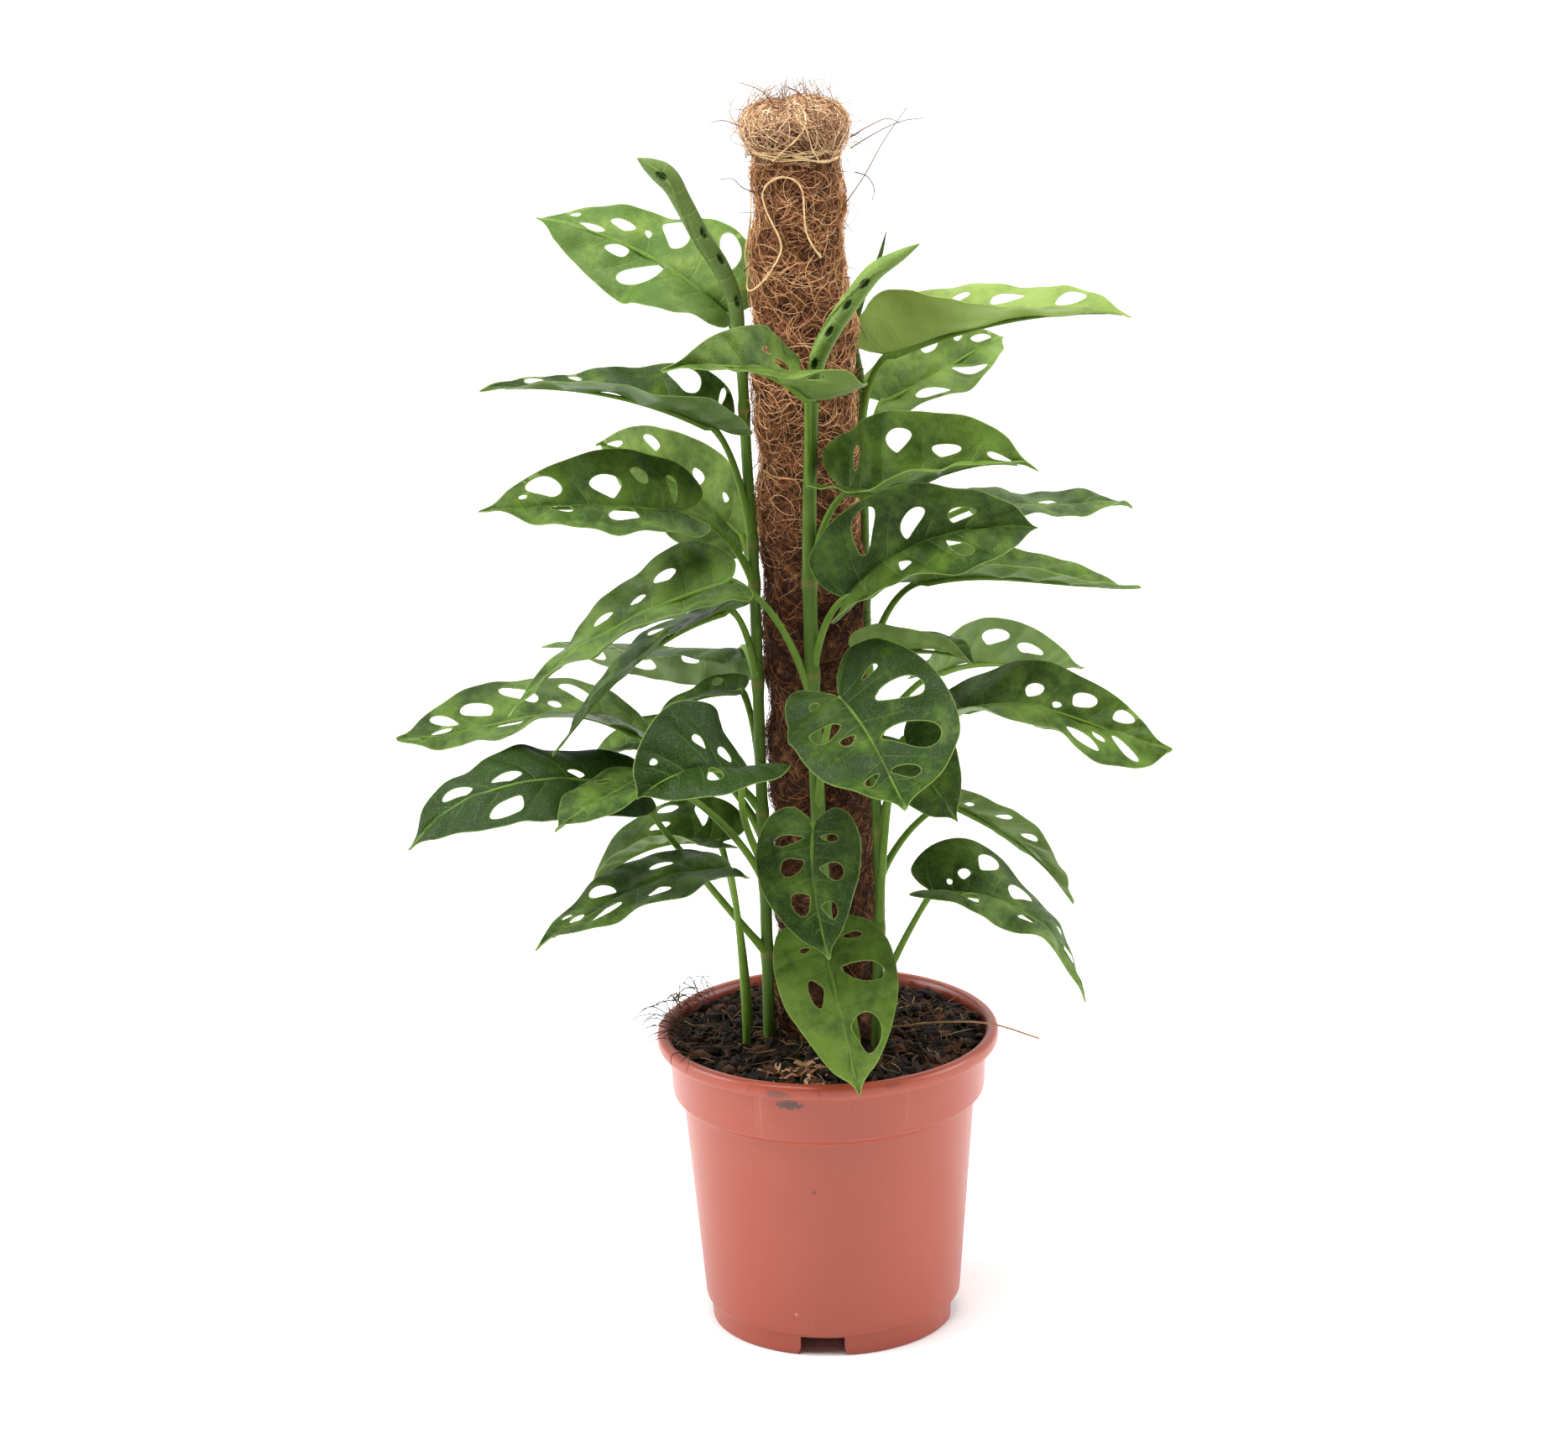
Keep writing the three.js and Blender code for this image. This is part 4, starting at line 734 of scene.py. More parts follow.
def midrib(leaf, x):
    """On the midrib at parts of its length: the place, the way it runs and the way the blade faces."""
    base, tip = np.array(leaf["base"], float), np.array(leaf["tip"], float)
    along = unit(tip - base)
    length = np.linalg.norm(tip - base)
    face = unit(np.array([0, 0, 1.0]) - along * along[2])
    face = turned(face, along, math.radians(leaf.get("roll", 0)))
    rises = leaf.get("arch", (4, 4))
    side_step = np.cross(face, along) * leaf.get("bow", 0)
    handles = [base + along * length * (k + 1) / 3 + face * rises[k] + side_step for k in range(2)]
    p0, p1, p2, p3 = base, *handles, tip
    t = np.clip(x, 0, 1)[..., None]
    middle = (1 - t) ** 3 * p0 + 3 * (1 - t) ** 2 * t * p1 + 3 * (1 - t) * t**2 * p2 + t**3 * p3
    slope = 3 * ((1 - t) ** 2 * (p1 - p0) + 2 * (1 - t) * t * (p2 - p1) + t**2 * (p3 - p2))
    middle = middle + slope * (np.minimum(x, 0) * leaf.get("lobe", 1))[..., None]
    run = unit(slope)
    up = unit(face - run * np.sum(run * face, -1, keepdims=True))
    return middle, run, turned(up, run, math.radians(leaf.get("twist", 0)) * (t[..., 0] - 0.3))


def angle_of(pair, half):
    """The angle in radians of half 0 or 1, from a pair in degrees."""
    return np.radians(np.array(pair, float))[half]


def blade_point(leaf, x, y):
    """Places on the leaf's surface from parts of its length (x) and half width (y, + left)."""
    middle, run, up = midrib(leaf, x)
    half = np.where(y < 0, 1, 0)
    width = np.array(leaf["half"], float)[half]
    folding = leaf.get("fold", EVEN_FOLD)
    fold, fold_ahead = angle_of(folding, half), angle_of(leaf.get("fold_ahead", folding), half)
    fold = fold + (fold_ahead - fold) * smoothstep(0.0, 0.5, x)
    curl = angle_of(leaf.get("curl", (0, 0)), half) + 1e-3
    end = fold + curl * np.abs(y)
    reach = width * (np.sin(end) - np.sin(fold)) / curl
    lift = width * (np.cos(fold) - np.cos(end)) / curl
    out = np.cross(up, run)
    return middle + out * (np.where(y < 0, -reach, reach))[..., None] + up * lift[..., None]


class Flat:
    """Turns a leaf's parts (x, y) into flat millimetres and back."""

    def __init__(self, leaf):
        self.length = np.linalg.norm(np.subtract(leaf["tip"], leaf["base"]))
        self.lobe = leaf.get("lobe", 1)
        self.half = np.array(leaf["half"], float)

    def to_mm(self, parts, side):
        x, y = parts[..., 0], parts[..., 1]
        x = np.where(x < 0, x * self.lobe, x) * self.length
        return np.stack([x, side * y * self.half[0 if side > 0 else 1]], -1)

    def to_parts(self, mm):
        x = mm[:, 0] / self.length
        x = np.where(x < 0, x / self.lobe, x)
        return x, mm[:, 1] / np.where(mm[:, 1] < 0, self.half[1], self.half[0])


def hole_ring(flat, side, hole, belly):
    """The rim of one hole: blunt outwards, narrow towards the midrib, and a little uneven."""
    vein, across, half_vein, half_across = hole
    angle = np.linspace(0, 2 * np.pi, 64, endpoint=False)
    lean = 4 * vein + 9 * across
    out = across + half_across * (np.cos(angle) + 0.06 * np.cos(2 * angle + lean))
    width = np.sin(angle) * (0.86 + 0.3 * np.cos(angle)) + 0.07 * np.sin(3 * angle + lean)
    ring = flat.to_mm(vein_point(vein + half_vein * width, np.clip(out, 0.04, 0.95), belly), side)
    return resampled(np.vstack([ring, ring[:1]]), HOLE_STEP)[:-1]


def halves(leaf):
    """The left and the right half's side (1 or -1), belly and holes."""
    bellies = leaf.get("belly", (0, 0))
    return (1, bellies[0], leaf.get("left", [])), (-1, bellies[1], leaf.get("right", []))


def blade_rings(leaf, flat):
    """The outline and the holes' rims, in flat millimetres."""
    edges, rims = [], []
    for side, belly, holes in halves(leaf):
        edge = outline_point(np.linspace(LOBES_END, TIP, 400), belly)
        edges.append(resampled(flat.to_mm(edge, side), EDGE_STEP))
        rims += [hole_ring(flat, side, hole, belly) for hole in holes]
    return [np.vstack([edges[0], edges[1][-2:0:-1]]), *rims]


def inside(points, rings):
    """Which points lie in the blade: within the outline and in no hole."""
    count = np.zeros(len(points), int)
    x, y = points[:, 0, None], points[:, 1, None]
    for ring in rings:
        a, b = ring, np.roll(ring, -1, axis=0)
        spans = (a[:, 1] > y) != (b[:, 1] > y)
        rise = np.where(b[:, 1] == a[:, 1], 1e-12, b[:, 1] - a[:, 1])
        meets = a[:, 0] + (y - a[:, 1]) * (b[:, 0] - a[:, 0]) / rise
        count += np.sum(spans & (x < meets), axis=1)
    return count % 2 == 1


def rim_distance(points, rings):
    """How far points lie from the nearest point of any rim."""
    rims = np.vstack(rings)
    gaps = points[:, None] - rims[None]
    return np.sqrt(np.min(np.sum(gaps**2, -1), axis=1))


def lattice(rings, spacing):
    """Points of a triangular grid over the blade, clear of the rims and the midrib."""
    low, high = rings[0].min(0), rings[0].max(0)
    rows = []
    for k, v in enumerate(np.arange(low[1], high[1], spacing * math.sqrt(0.75))):
        u = np.arange(low[0] + (k % 2) * spacing / 2, high[0], spacing)
        rows.append(np.column_stack([u, np.full(len(u), v)]))
    grid = np.vstack(rows)
    grid = grid[inside(grid, rings) & (np.abs(grid[:, 1]) > 0.55 * spacing)]
    return grid[rim_distance(grid, rings) > 0.62 * spacing]


def fixed_edges(rings, flat):
    """The points of the rims and the midrib, and the edges that a blade has to have between them."""
    steps = int(flat.length / SPACING)
    midrib = np.stack([np.linspace(0, flat.length, steps + 1), np.zeros(steps + 1)], -1)
    points, edges = [], []
    for chain, closed in [(ring, True) for ring in rings] + [(midrib, False)]:
        first = len(points)
        points += [Vector(p) for p in chain]
        edges += [(first + k, first + k + 1) for k in range(len(chain) - 1)]
        if closed:
            edges.append((len(points) - 1, first))
    return points, edges


def triangulated(rings, flat):
    """The blade's flat points and its triangles, all facing up."""
    points, edges = fixed_edges(rings, flat)
    points += [Vector(p) for p in lattice(rings, SPACING)]
    verts, _, faces, *_ = delaunay_2d_cdt(points, edges, [], 0, 1e-4)
    verts, faces = np.array([v[:] for v in verts]), np.array([f[:] for f in faces])
    faces = faces[inside(verts[faces].mean(1), rings)]
    a, b, c = (verts[faces[:, k]] for k in range(3))
    area = (b[:, 0] - a[:, 0]) * (c[:, 1] - a[:, 1]) - (b[:, 1] - a[:, 1]) * (c[:, 0] - a[:, 0])
    whole = np.abs(area) > 1e-4
    faces, area = faces[whole], area[whole]
    faces[area < 0] = faces[area < 0][:, ::-1]
    used, faces = np.unique(faces, return_inverse=True)
    return verts[used], faces.reshape(-1, 3)


def hole_spans(holes):
    """Where holes start and end in vein numbers, with those side by side as one and small ones left out."""
    spans = []
    for start, end in sorted((h[0] - h[2], h[0] + h[2]) for h in holes if h[2] > SMALL_HOLE):
        if spans and start < spans[-1][1] - 0.15:
            spans[-1][1] = max(end, spans[-1][1])
        else:
            spans.append([start, end])
    return spans


def panel_numbers(vein, holes):
    """Vein numbers moved so that each hole lies between two veins."""
    spans = hole_spans(holes)
    if not spans:
        return vein
    hole_start, hole_end = 0.14, 0.86  # in parts of the way from one vein to the next
    known, numbers = [LOBES_END], [LOBES_END]
    number = max(-1, round(spans[0][0] - 0.15))
    for k, (start, end) in enumerate(spans):
        if k:
            number += 1 + max(0, round(start - spans[k - 1][1] - 0.35))
        known += [start, max(end, start + 0.1)]
        numbers += [number + hole_start, number + hole_end]
    return np.interp(vein, known + [TIP], numbers + [max(TIP, number + 2)])


def blade_relief(leaf, mm, across, panel, pitch, rng):
    """How far each point of the blade stands above its smooth surface."""
    u, v = mm[:, 0], mm[:, 1]
    swell = np.zeros(len(mm))
    waves = (44, 30, 20)
    for wave in waves:
        angle, phase = rng.uniform(0, np.pi), rng.uniform(0, 2 * np.pi)
        along = u * np.cos(angle) + v * np.sin(angle)
        swell += wave / waves[0] * np.sin(2 * np.pi * along / wave + phase)
    quilt = np.abs(np.sin(np.pi * panel)) ** 0.7 - 0.6
    quilt *= smoothstep(0.02, 0.2, across) * (1 - smoothstep(0.85, 1.0, across)) * smoothstep(3, 11, pitch)
    side = (v < 0).astype(int)
    phase, second = rng.uniform(0, 2 * np.pi, 2)[side], rng.uniform(0, 2 * np.pi, 2)[side]
    edge_wave = np.sin(2 * np.pi * u / rng.uniform(36, 56) + phase)
    edge_wave += 0.25 * np.sin(2 * np.pi * u / rng.uniform(14, 20) + second)
    waviness = RELIEF["swell"] * swell + RELIEF["edge"] * across**2 * edge_wave
    raised = RELIEF["panel"] * (1 - 0.6 * leaf.get("young", 0)) * quilt
    return waviness + raised - RELIEF["groove"] * hill(v, 1.3)


def shell(points, faces, thickness):
    """A sheet given its thickness, with walls along its free edges. The top's points come first."""
    offset = vertex_normals(points, faces) * (thickness / 2)[:, None]
    count = len(points)
    edges = np.vstack([faces[:, [0, 1]], faces[:, [1, 2]], faces[:, [2, 0]]])
    codes = edges[:, 0] * count + edges[:, 1]
    free = edges[~np.isin(codes, edges[:, 1] * count + edges[:, 0])]
    a, b = free[:, 0], free[:, 1]
    walls = quads(a, a + count, b + count, b)
    return np.vstack([points + offset, points - offset]), np.vstack([faces, faces[:, ::-1] + count, walls])


def petiole_path(leaf):
    """From inside the stem, or from the soil, to the blade's base."""
    base = np.array(leaf["base"], float)
    if "root" in leaf:
        foot = np.array([*leaf["root"], ROOTED])
        bend = np.array([*leaf["root"], (ROOTED + 2 * base[2]) / 3])
    else:
        name, height = leaf["stem"]
        curve = STEMS[name]["path"]
        foot = np.array([np.interp(height, curve[:, 2], curve[:, k]) for k in range(3)])
        steep = np.array([0.35, 0.35, 0.8])  # it rises first and leans out later
        bend = np.array(leaf["via"], float) if "via" in leaf else foot + (base - foot) * steep
    return bezier(foot, bend, base, 40)


def stalk_mesh(leaf):
    """The petiole, thicker at both ends, and the rib that runs on from it under the blade."""
    stalk = resampled(petiole_path(leaf), 2.5)
    t = np.linspace(0, 1, len(stalk))
    length = path_length(stalk)
    radii = 2.1 - 0.65 * t + 0.5 * hill(t * length, 9)
    radii += 0.35 * hill((1 - t) * length, 7)
    along = np.linspace(0, RIB_REACH, max(6, int(RIB_REACH * Flat(leaf).length / 3)))[1:]
    rib, left, right = (blade_point(leaf, along, np.full(len(along), y)) for y in (0.0, 0.02, -0.02))
    down = -unit(np.cross(unit(np.gradient(rib, axis=0)), unit(left - right)))
    rib_radii = 1.35 * (1 - along / RIB_REACH) ** 0.8 + 0.3
    depth = (rib_radii * 0.75 + 0.35)[:, None]
    path = np.vstack([stalk, rib + down * depth])
    return tube(path, np.concatenate([radii, rib_radii]), 10)


def vein_values(leaf, flat, mm):
    """For flat places: their part of the way out to the edge, and their panel's number and width in mm."""
    x, y = flat.to_parts(mm)
    across, panel, pitch = (np.zeros(len(mm)) for _ in range(3))
    near = 0.05
    for side, belly, holes in halves(leaf):
        mine = mm[:, 1] * side >= 0
        vein, out = vein_numbers(x[mine], np.abs(y[mine]), belly)
        spots = [(vein, out), (vein + near, out), (vein, out + near)]
        here, ahead, outer = (flat.to_mm(vein_point(v, part, belly), side) for v, part in spots)
        step, way = ahead - here, unit(outer - here)
        square = np.abs(step[:, 0] * way[:, 1] - step[:, 1] * way[:, 0])
        number = panel_numbers(vein, holes)
        across[mine], panel[mine] = out, number
        pitch[mine] = square / np.maximum(panel_numbers(vein + near, holes) - number, 0.01)
    return across, panel, pitch


def leaf_attributes(leaf, mm, rim, veins, stalk_count, shade):
    """The values per point that the leaf material reads.

    flat is the place in flat mm, panel the side vein number, the part of the way out and the
    panel's width, rim the distance from a rim; under and stalk mark the underside and the
    petiole, young is 1 on a fresh leaf, and shade makes it lighter or darker, partly as its own
    tone and partly as painted shade and painted light.
    """
    count = len(mm)
    zeros = np.zeros(count)

    def per_point(values, rest):
        """The same values for the top and the underside, and one for all of the stalk."""
        return np.concatenate([values, values, np.full((stalk_count, *values.shape[1:]), rest)])

    return {
        "flat": per_point(np.column_stack([mm, zeros]), 50.0),
        "panel": per_point(np.column_stack(veins), 0.0),
        "rim": per_point(rim, 9.0),
        "under": np.repeat([0.0, 1.0, 0.0], [count, count, stalk_count]),
        "stalk": per_point(zeros, 1.0),
        "young": np.full(2 * count + stalk_count, leaf.get("young", YOUTH)),
        "shade": per_point(np.full(count, shade), 0.0),
    }


def add_leaf(name, leaf, material, seed):
    """One leaf: its blade as a wavy sheet with holes, on its petiole and rib."""
    rng = np.random.default_rng(seed)
    flat = Flat(leaf)
    rings = blade_rings(leaf, flat)
    mm, faces = triangulated(rings, flat)
    across, panel, pitch = vein_values(leaf, flat, mm)
    sheet = blade_point(leaf, *flat.to_parts(mm))
    relief = blade_relief(leaf, mm, across, panel, pitch, rng)
    sheet = sheet + vertex_normals(sheet, faces) * relief[:, None]
    rim = rim_distance(mm, rings)
    blade = shell(sheet, faces, BLADE * (0.65 + 0.35 * smoothstep(0, 3, rim)))
    stalk = stalk_mesh(leaf)
    # the leaf's shade, partly painted shade and painted light, with a small random step
    shade = leaf.get("shade", 0) + rng.uniform(-0.1, 0.1)
    attributes = leaf_attributes(leaf, mm, rim, [panel, across, pitch], len(stalk[0]), shade)
    add_piece(f"{name}_blade", *joined([blade, stalk]), material, "leaf", [name], attributes)


# ---- young leaves still rolled up ----
# width: parts of the radius along the roll. slots: holes through its outer layer, each at a part of
# the length and in degrees from the front; each is drawn as a dent painted dark, which is painted
# shade of the roll's inside.
ROLLED = {
    "leaf_02": dict(
        stem="left", radius=5.6, young=0.3, shade=-0.4,
        slots=[(0.88, -10), (0.56, 40), (0.42, 45), (0.22, 35)],
        width=[(0, 0.3), (0.12, 0.7), (0.5, 0.86), (0.74, 0.92), (0.86, 1.1), (0.93, 0.8), (1, 0.08)],
        points=[(-35, 1, 503), (-37, 0, 524), (-43, -2, 542), (-52, -5, 558), (-60, -7, 575), (-67, -9, 588),
                (-81, -11, 598)]),
    "leaf_05": dict(
        stem="front", radius=5.0, young=0.35, shade=0.3,
        slots=[(0.2, -20), (0.38, -22), (0.54, -20), (0.68, -10)],
        width=[(0, 0.4), (0.14, 0.86), (0.5, 1), (0.74, 0.95), (0.88, 0.66), (0.96, 0.3), (1, 0.06)],
        points=[(2, -39, 504), (10, -43, 521), (21, -48, 538), (30, -52, 550), (41, -56, 558),
                (51, -60, 565)]),
    "leaf_06": dict(
        stem="right", radius=2.4, young=0, shade=-1.5, slots=[],
        width=[(0, 1), (0.5, 0.85), (0.85, 0.45), (1, 0.06)],
        points=[(20, 21, 500), (25, 22, 520), (33, 22, 537), (37, 20, 552)]),
}
SLOT = (3.5, 2.2)  # half the length and half the width of a slot


def slot_depths(leaf, path, ups, radii, angle):
    """1 in the leaf's slots and 0 elsewhere, for all points of the roll."""
    t = np.linspace(0, 1, len(path))
    across = unit(np.cross(unit(np.gradient(path, axis=0)), ups))
    depths = np.zeros((len(path), len(angle)))
    for along, way in leaf["slots"]:
        ring = round(along * (len(path) - 1))
        facing = np.array([math.sin(math.radians(way)), -math.cos(math.radians(way)), 0])
        middle = math.atan2(np.dot(facing, across[ring]), np.dot(facing, ups[ring]))
        apart = np.abs((angle[None] - middle + np.pi) % (2 * np.pi) - np.pi) * radii[:, None]
        reach = np.hypot((t[:, None] - along) * path_length(path) / SLOT[0], apart / SLOT[1])
        depths = np.maximum(depths, 1 - smoothstep(0.7, 1.0, reach))
    return depths


def add_rolled(name, leaf, material):
    """A blade rolled round itself: its section is a spiral step, whose seam winds up its length."""
    start = STEMS[leaf["stem"]]["path"][-1]
    path = smooth([start, *leaf["points"]], 24, 1.0)
    t = np.linspace(0, 1, len(path))
    width = smooth([(at, 0, part) for at, part in leaf["width"]], 12, 0.01)
    radii = leaf["radius"] * np.interp(t, width[:, 0], width[:, 2])
    sides = 54
    angle = around(sides)
    turn = (angle[None] - 3.4 * t[:, None]) % (2 * np.pi)
    ups = carried_ups(path)
    slots = slot_depths(leaf, path, ups, radii, angle)
    section = radii[:, None] * (0.8 + 0.2 * turn / (2 * np.pi)) * (1 - 0.35 * slots)
    points, faces = tubes(path[None], section[None], sides, ups[None])
    count = len(points)
    along, turn, blade = np.repeat(t, sides), turn.ravel(), 1 - slots.ravel()
    # in the slots the colour turns to a very dark old green: painted shade inside the roll
    attributes = {
        "flat": np.column_stack([along * path_length(path), 12 + turn * 3, np.zeros(count)]),
        "panel": np.column_stack([along * 9, np.full(count, 0.4), np.full(count, 9.0)]),
        "rim": np.minimum(turn, 2 * np.pi - turn) * 4,
        "under": blade, "stalk": np.zeros(count), "young": leaf["young"] * blade,
        "shade": leaf["shade"] * blade - 2.5 * (1 - blade),
    }
    add_piece(f"{name}_rolled", points, faces, material, "young_leaf", [name], attributes)


# ---- coir pole ----
# the sleeve's blunt top, from the tie to its crown: [radius, height]
BUN = [
    (21.4, 595), (22.6, 600), (24.0, 604.5), (24.6, 609), (23.6, 613.2), (21.2, 616.4), (17.5, 618.6),
    (12, 620), (6, 620.6), (0.4, 620.8),
]
BUN_DIP = {"at": -5.5, "depth": 2.6, "width": 4.0}  # the crease between its two lobes
DARKER_BELOW = 395  # below this height the sleeve is darker
BANDS = 3  # pieces that the sleeve's fibres are split into, one above the other

# kinds of fibre: how many (deep and curl in each band), half their thickness, and their tones
FIBRES = {
    "deep": {"count": 1500, "radius": (0.14, 0.27), "tones": (0.1, 0.8)},
    "curl": {"count": 2250, "radius": (0.09, 0.19), "tones": (0.2, 1.2)},
    "stray": {"count": 1100, "radius": (0.1, 0.2), "tones": (-0.1, 0.7)},
    "bun": {"count": 1750, "radius": (0.11, 0.22), "tones": (0.1, 1.3)},
    "bun_stray": {"count": 300, "radius": (0.1, 0.18), "tones": (-0.1, 0.7)},
    "peat": {"count": 640, "radius": (0.12, 0.3), "tones": (0.0, 1.0)},
    "rootlet": {"count": 60, "radius": (0.2, 0.34), "tones": (0, 0.6)},
}

# single long fibres that stand off the top of the sleeve
WISPS = [
    [(14, -22, 572), (26, -26, 590), (36, -24, 607), (47, -22, 622)],
    [(20, -10, 600), (30, -10, 606), (44, -8, 612), (55, -6, 613)],
    [(20, -12, 606), (30, -14, 612), (38, -14, 615), (44, -12, 612)],
    [(-14, -10, 618), (-20, -12, 628), (-26, -14, 632), (-32, -14, 634)],
    [(-22, -8, 608), (-32, -10, 612), (-40, -10, 615), (-46, -10, 614)],
    [(-2, -14, 617), (0, -18, 624), (-4, -20, 630), (-10, -20, 633)],
    [(22, -8, 588), (28, -10, 586), (31, -10, 580), (30, -8, 574)],
    [(-24, -6, 578), (-32, -8, 582), (-36, -8, 586), (-42, -8, 586)],
]


def wrap_radius(z, angle):
    """The sleeve's radius at a height and an angle round it: it swells between crossing turns."""
    rise = 2 * np.pi * z / POLE["pitch"]
    turn = np.sin(rise + angle) + np.sin(rise - angle)
    pads = np.abs(np.sin(rise + 1.5 * angle)) + np.abs(np.sin(rise - 1.5 * angle + 0.8)) - 1.27
    waist = hill(z - TIE, 7)
    slimming = 1.2 - 3.0 * smoothstep(500, 575, z)
    return POLE["radius"] + slimming + (0.5 * POLE["bulge"] * turn + 1.5 * pads) * (1 - waist) - 1.6 * waist


def pole_point(z, angle, out):
    """A place on the sleeve, out from its surface by so much."""
    radius = wrap_radius(z, angle) + out
    return np.stack([pole_axis(z) + radius * np.cos(angle), radius * np.sin(angle), z], -1)


def add_coir_core(material):
    """The matted body of the sleeve, under its fibres."""
    rings, sides = 260, 84
    z = np.linspace(POLE["foot"], TIE + 4, rings)[:, None]
    angle = around(sides)[None]
    waves = ((7, 0.31, 0), (11, -0.42, 2), (17, 0.77, 4), (23, -1.1, 1), (5, 1.3, 3))
    lumps = sum(np.sin(a * angle + b * z + c) for a, b, c in waves)
    place = pole_point(z + 0 * angle, angle + 0 * z, -2.2 + 0.25 * lumps)
    ends = [[pole_axis(end), 0, end] for end in (z[0, 0], z[-1, 0])]
    # the tone follows the lumps, lighter where they stand out and darker between them: painted shade in the
    # hollows
    tone = np.concatenate([0.12 + 0.05 * lumps.ravel(), [0.1, 0.1]])
    add_piece("coir_mat", *capped(place, ends), material, "coir", ["coir_wrap"], {"tone": tone})


def fibre_paths(kind, low, high, rng, steps, out):
    """Fibres matted round the sleeve between two heights: each a short curl over its surface."""
    count = FIBRES[kind]["count"]
    z = rng.uniform(low, high, count)
    angle = rng.uniform(0, 2 * np.pi, count)
    heading = rng.uniform(0, 2 * np.pi, count)
    lean = rng.normal(0, 0.5, count) + np.where(rng.random(count) < 0.5, 0.7, -0.7)
    heading = np.where(rng.random(count) < 0.4, lean, heading)
    bend = rng.normal(0, 0.11, count)
    step = rng.uniform(7, 22, count) / (steps - 1)
    depth = rng.uniform(*out, count)
    lift = rng.uniform(-0.5, 1.0, count)
    path = []
    for k in range(steps):
        way = k / (steps - 1)
        path.append(pole_point(z, angle, depth + lift * np.sin(np.pi * way) + rng.normal(0, 0.12, count)))
        z = np.clip(z + step * np.sin(heading), low - 6, high)
        angle = angle + step * np.cos(heading) / POLE["radius"]
        heading = heading + bend * step + rng.normal(0, 0.12, count)
    return np.stack(path, 1)


def add_fibres(name, paths, material, rng, kind, slot="coir", darker_below=None):
    """Fibres as thin three-sided tubes, each in one tone; given a height, they are darker below it."""
    sides = 3
    count, steps = paths.shape[:2]
    taper = 1 - 0.55 * np.abs(np.linspace(-1, 1, steps)) ** 3
    radii = rng.uniform(*FIBRES[kind]["radius"], count)[:, None] * taper
    outward = paths - np.stack([pole_axis(paths[..., 2]), 0 * paths[..., 0], paths[..., 2]], -1)
    points, faces = tubes(paths, radii, sides, unit(outward))
    tone = rng.uniform(*FIBRES[kind]["tones"], count)
    if darker_below:
        tone = tone - 0.55 * smoothstep(darker_below + 50, darker_below - 30, paths[:, 0, 2])
    add_piece(name, points, faces, material, slot, (), {"tone": np.repeat(tone, steps * sides)})


def one_tone(body, tone):
    """The tone of a (points, faces) body that has the same all over."""
    return {"tone": np.full(len(body[0]), tone)}


def bun_point(way, angle, out):
    """A place on the bun: way 0 is the tie and 1 the middle of the crown."""
    profile = smooth([(r, 0, z) for r, z in BUN], 8, 0.5)
    at = np.clip(way, 0, 1) * (len(profile) - 1)
    columns = (*profile.T, *np.gradient(profile, axis=0).T)
    radius, _, height, run, _, rise = (np.interp(at, np.arange(len(profile)), c) for c in columns)
    tilt = np.arctan2(rise, run)
    radius, height = radius + out * np.sin(tilt), height - out * np.cos(tilt)
    radius = radius * (1 + 0.035 * np.sin(2 * angle + 0.5) + 0.02 * np.sin(5 * angle))
    x, y = radius * np.cos(angle), radius * np.sin(angle)
    crease = hill(x - BUN_DIP["at"], BUN_DIP["width"])
    height = height - BUN_DIP["depth"] * crease * smoothstep(0.35, 0.75, way)
    return np.stack([x + pole_axis(height), y, height], -1)


def bun_paths(rng):
    """Fibres that climb from the tie in loose arcs and lie over the crown."""
    count, steps = FIBRES["bun"]["count"], 8
    climb, middle = 46, pole_axis(620)  # length of the way up, and the place of its end in x
    way = rng.uniform(0, 1, count) ** 0.8
    angle = rng.uniform(0, 2 * np.pi, count)
    heading = rng.normal(np.pi / 2, 0.5, count) + np.where(rng.random(count) < 0.35, 1.2, 0)
    bend = rng.normal(0, 0.06, count)
    step = rng.uniform(12, 34, count) / (steps - 1)
    depth = rng.uniform(-1.0, 1.0, count)
    lift = rng.uniform(-0.3, 1.8, count)
    path = []
    for k in range(steps):
        path.append(bun_point(way, angle, depth + lift * np.sin(np.pi * k / (steps - 1))))
        reach = np.maximum(np.hypot(path[-1][:, 0] - middle, path[-1][:, 1]), 4)
        way = way + step * np.sin(heading) / climb
        over = way > 0.97  # a fibre that meets the middle of the crown turns back down
        angle = np.where(over, angle + np.pi * 0.12, angle) + step * np.cos(heading) / reach
        heading = np.where(over, -heading, heading) + bend * step
        way = np.clip(way, 0.0, 0.985)
    return np.stack(path, 1)


def bun_strays(rng):
    """Loose curly fibres that stand off the bun."""
    shape = (FIBRES["bun_stray"]["count"], 1)
    way = rng.uniform(0.08, 0.74, shape)
    angle = rng.uniform(0, 2 * np.pi, shape)
    length = rng.uniform(4, 16, shape)
    sweep = rng.normal(0, 0.5, shape)
    climb = rng.normal(0.1, 0.25, shape)
    t = np.arange(7) / 6
    out = -0.5 + length * t**1.4 * 0.9
    return bun_point(np.clip(way + climb * t, 0, 0.9), angle + sweep * t**1.5, out)


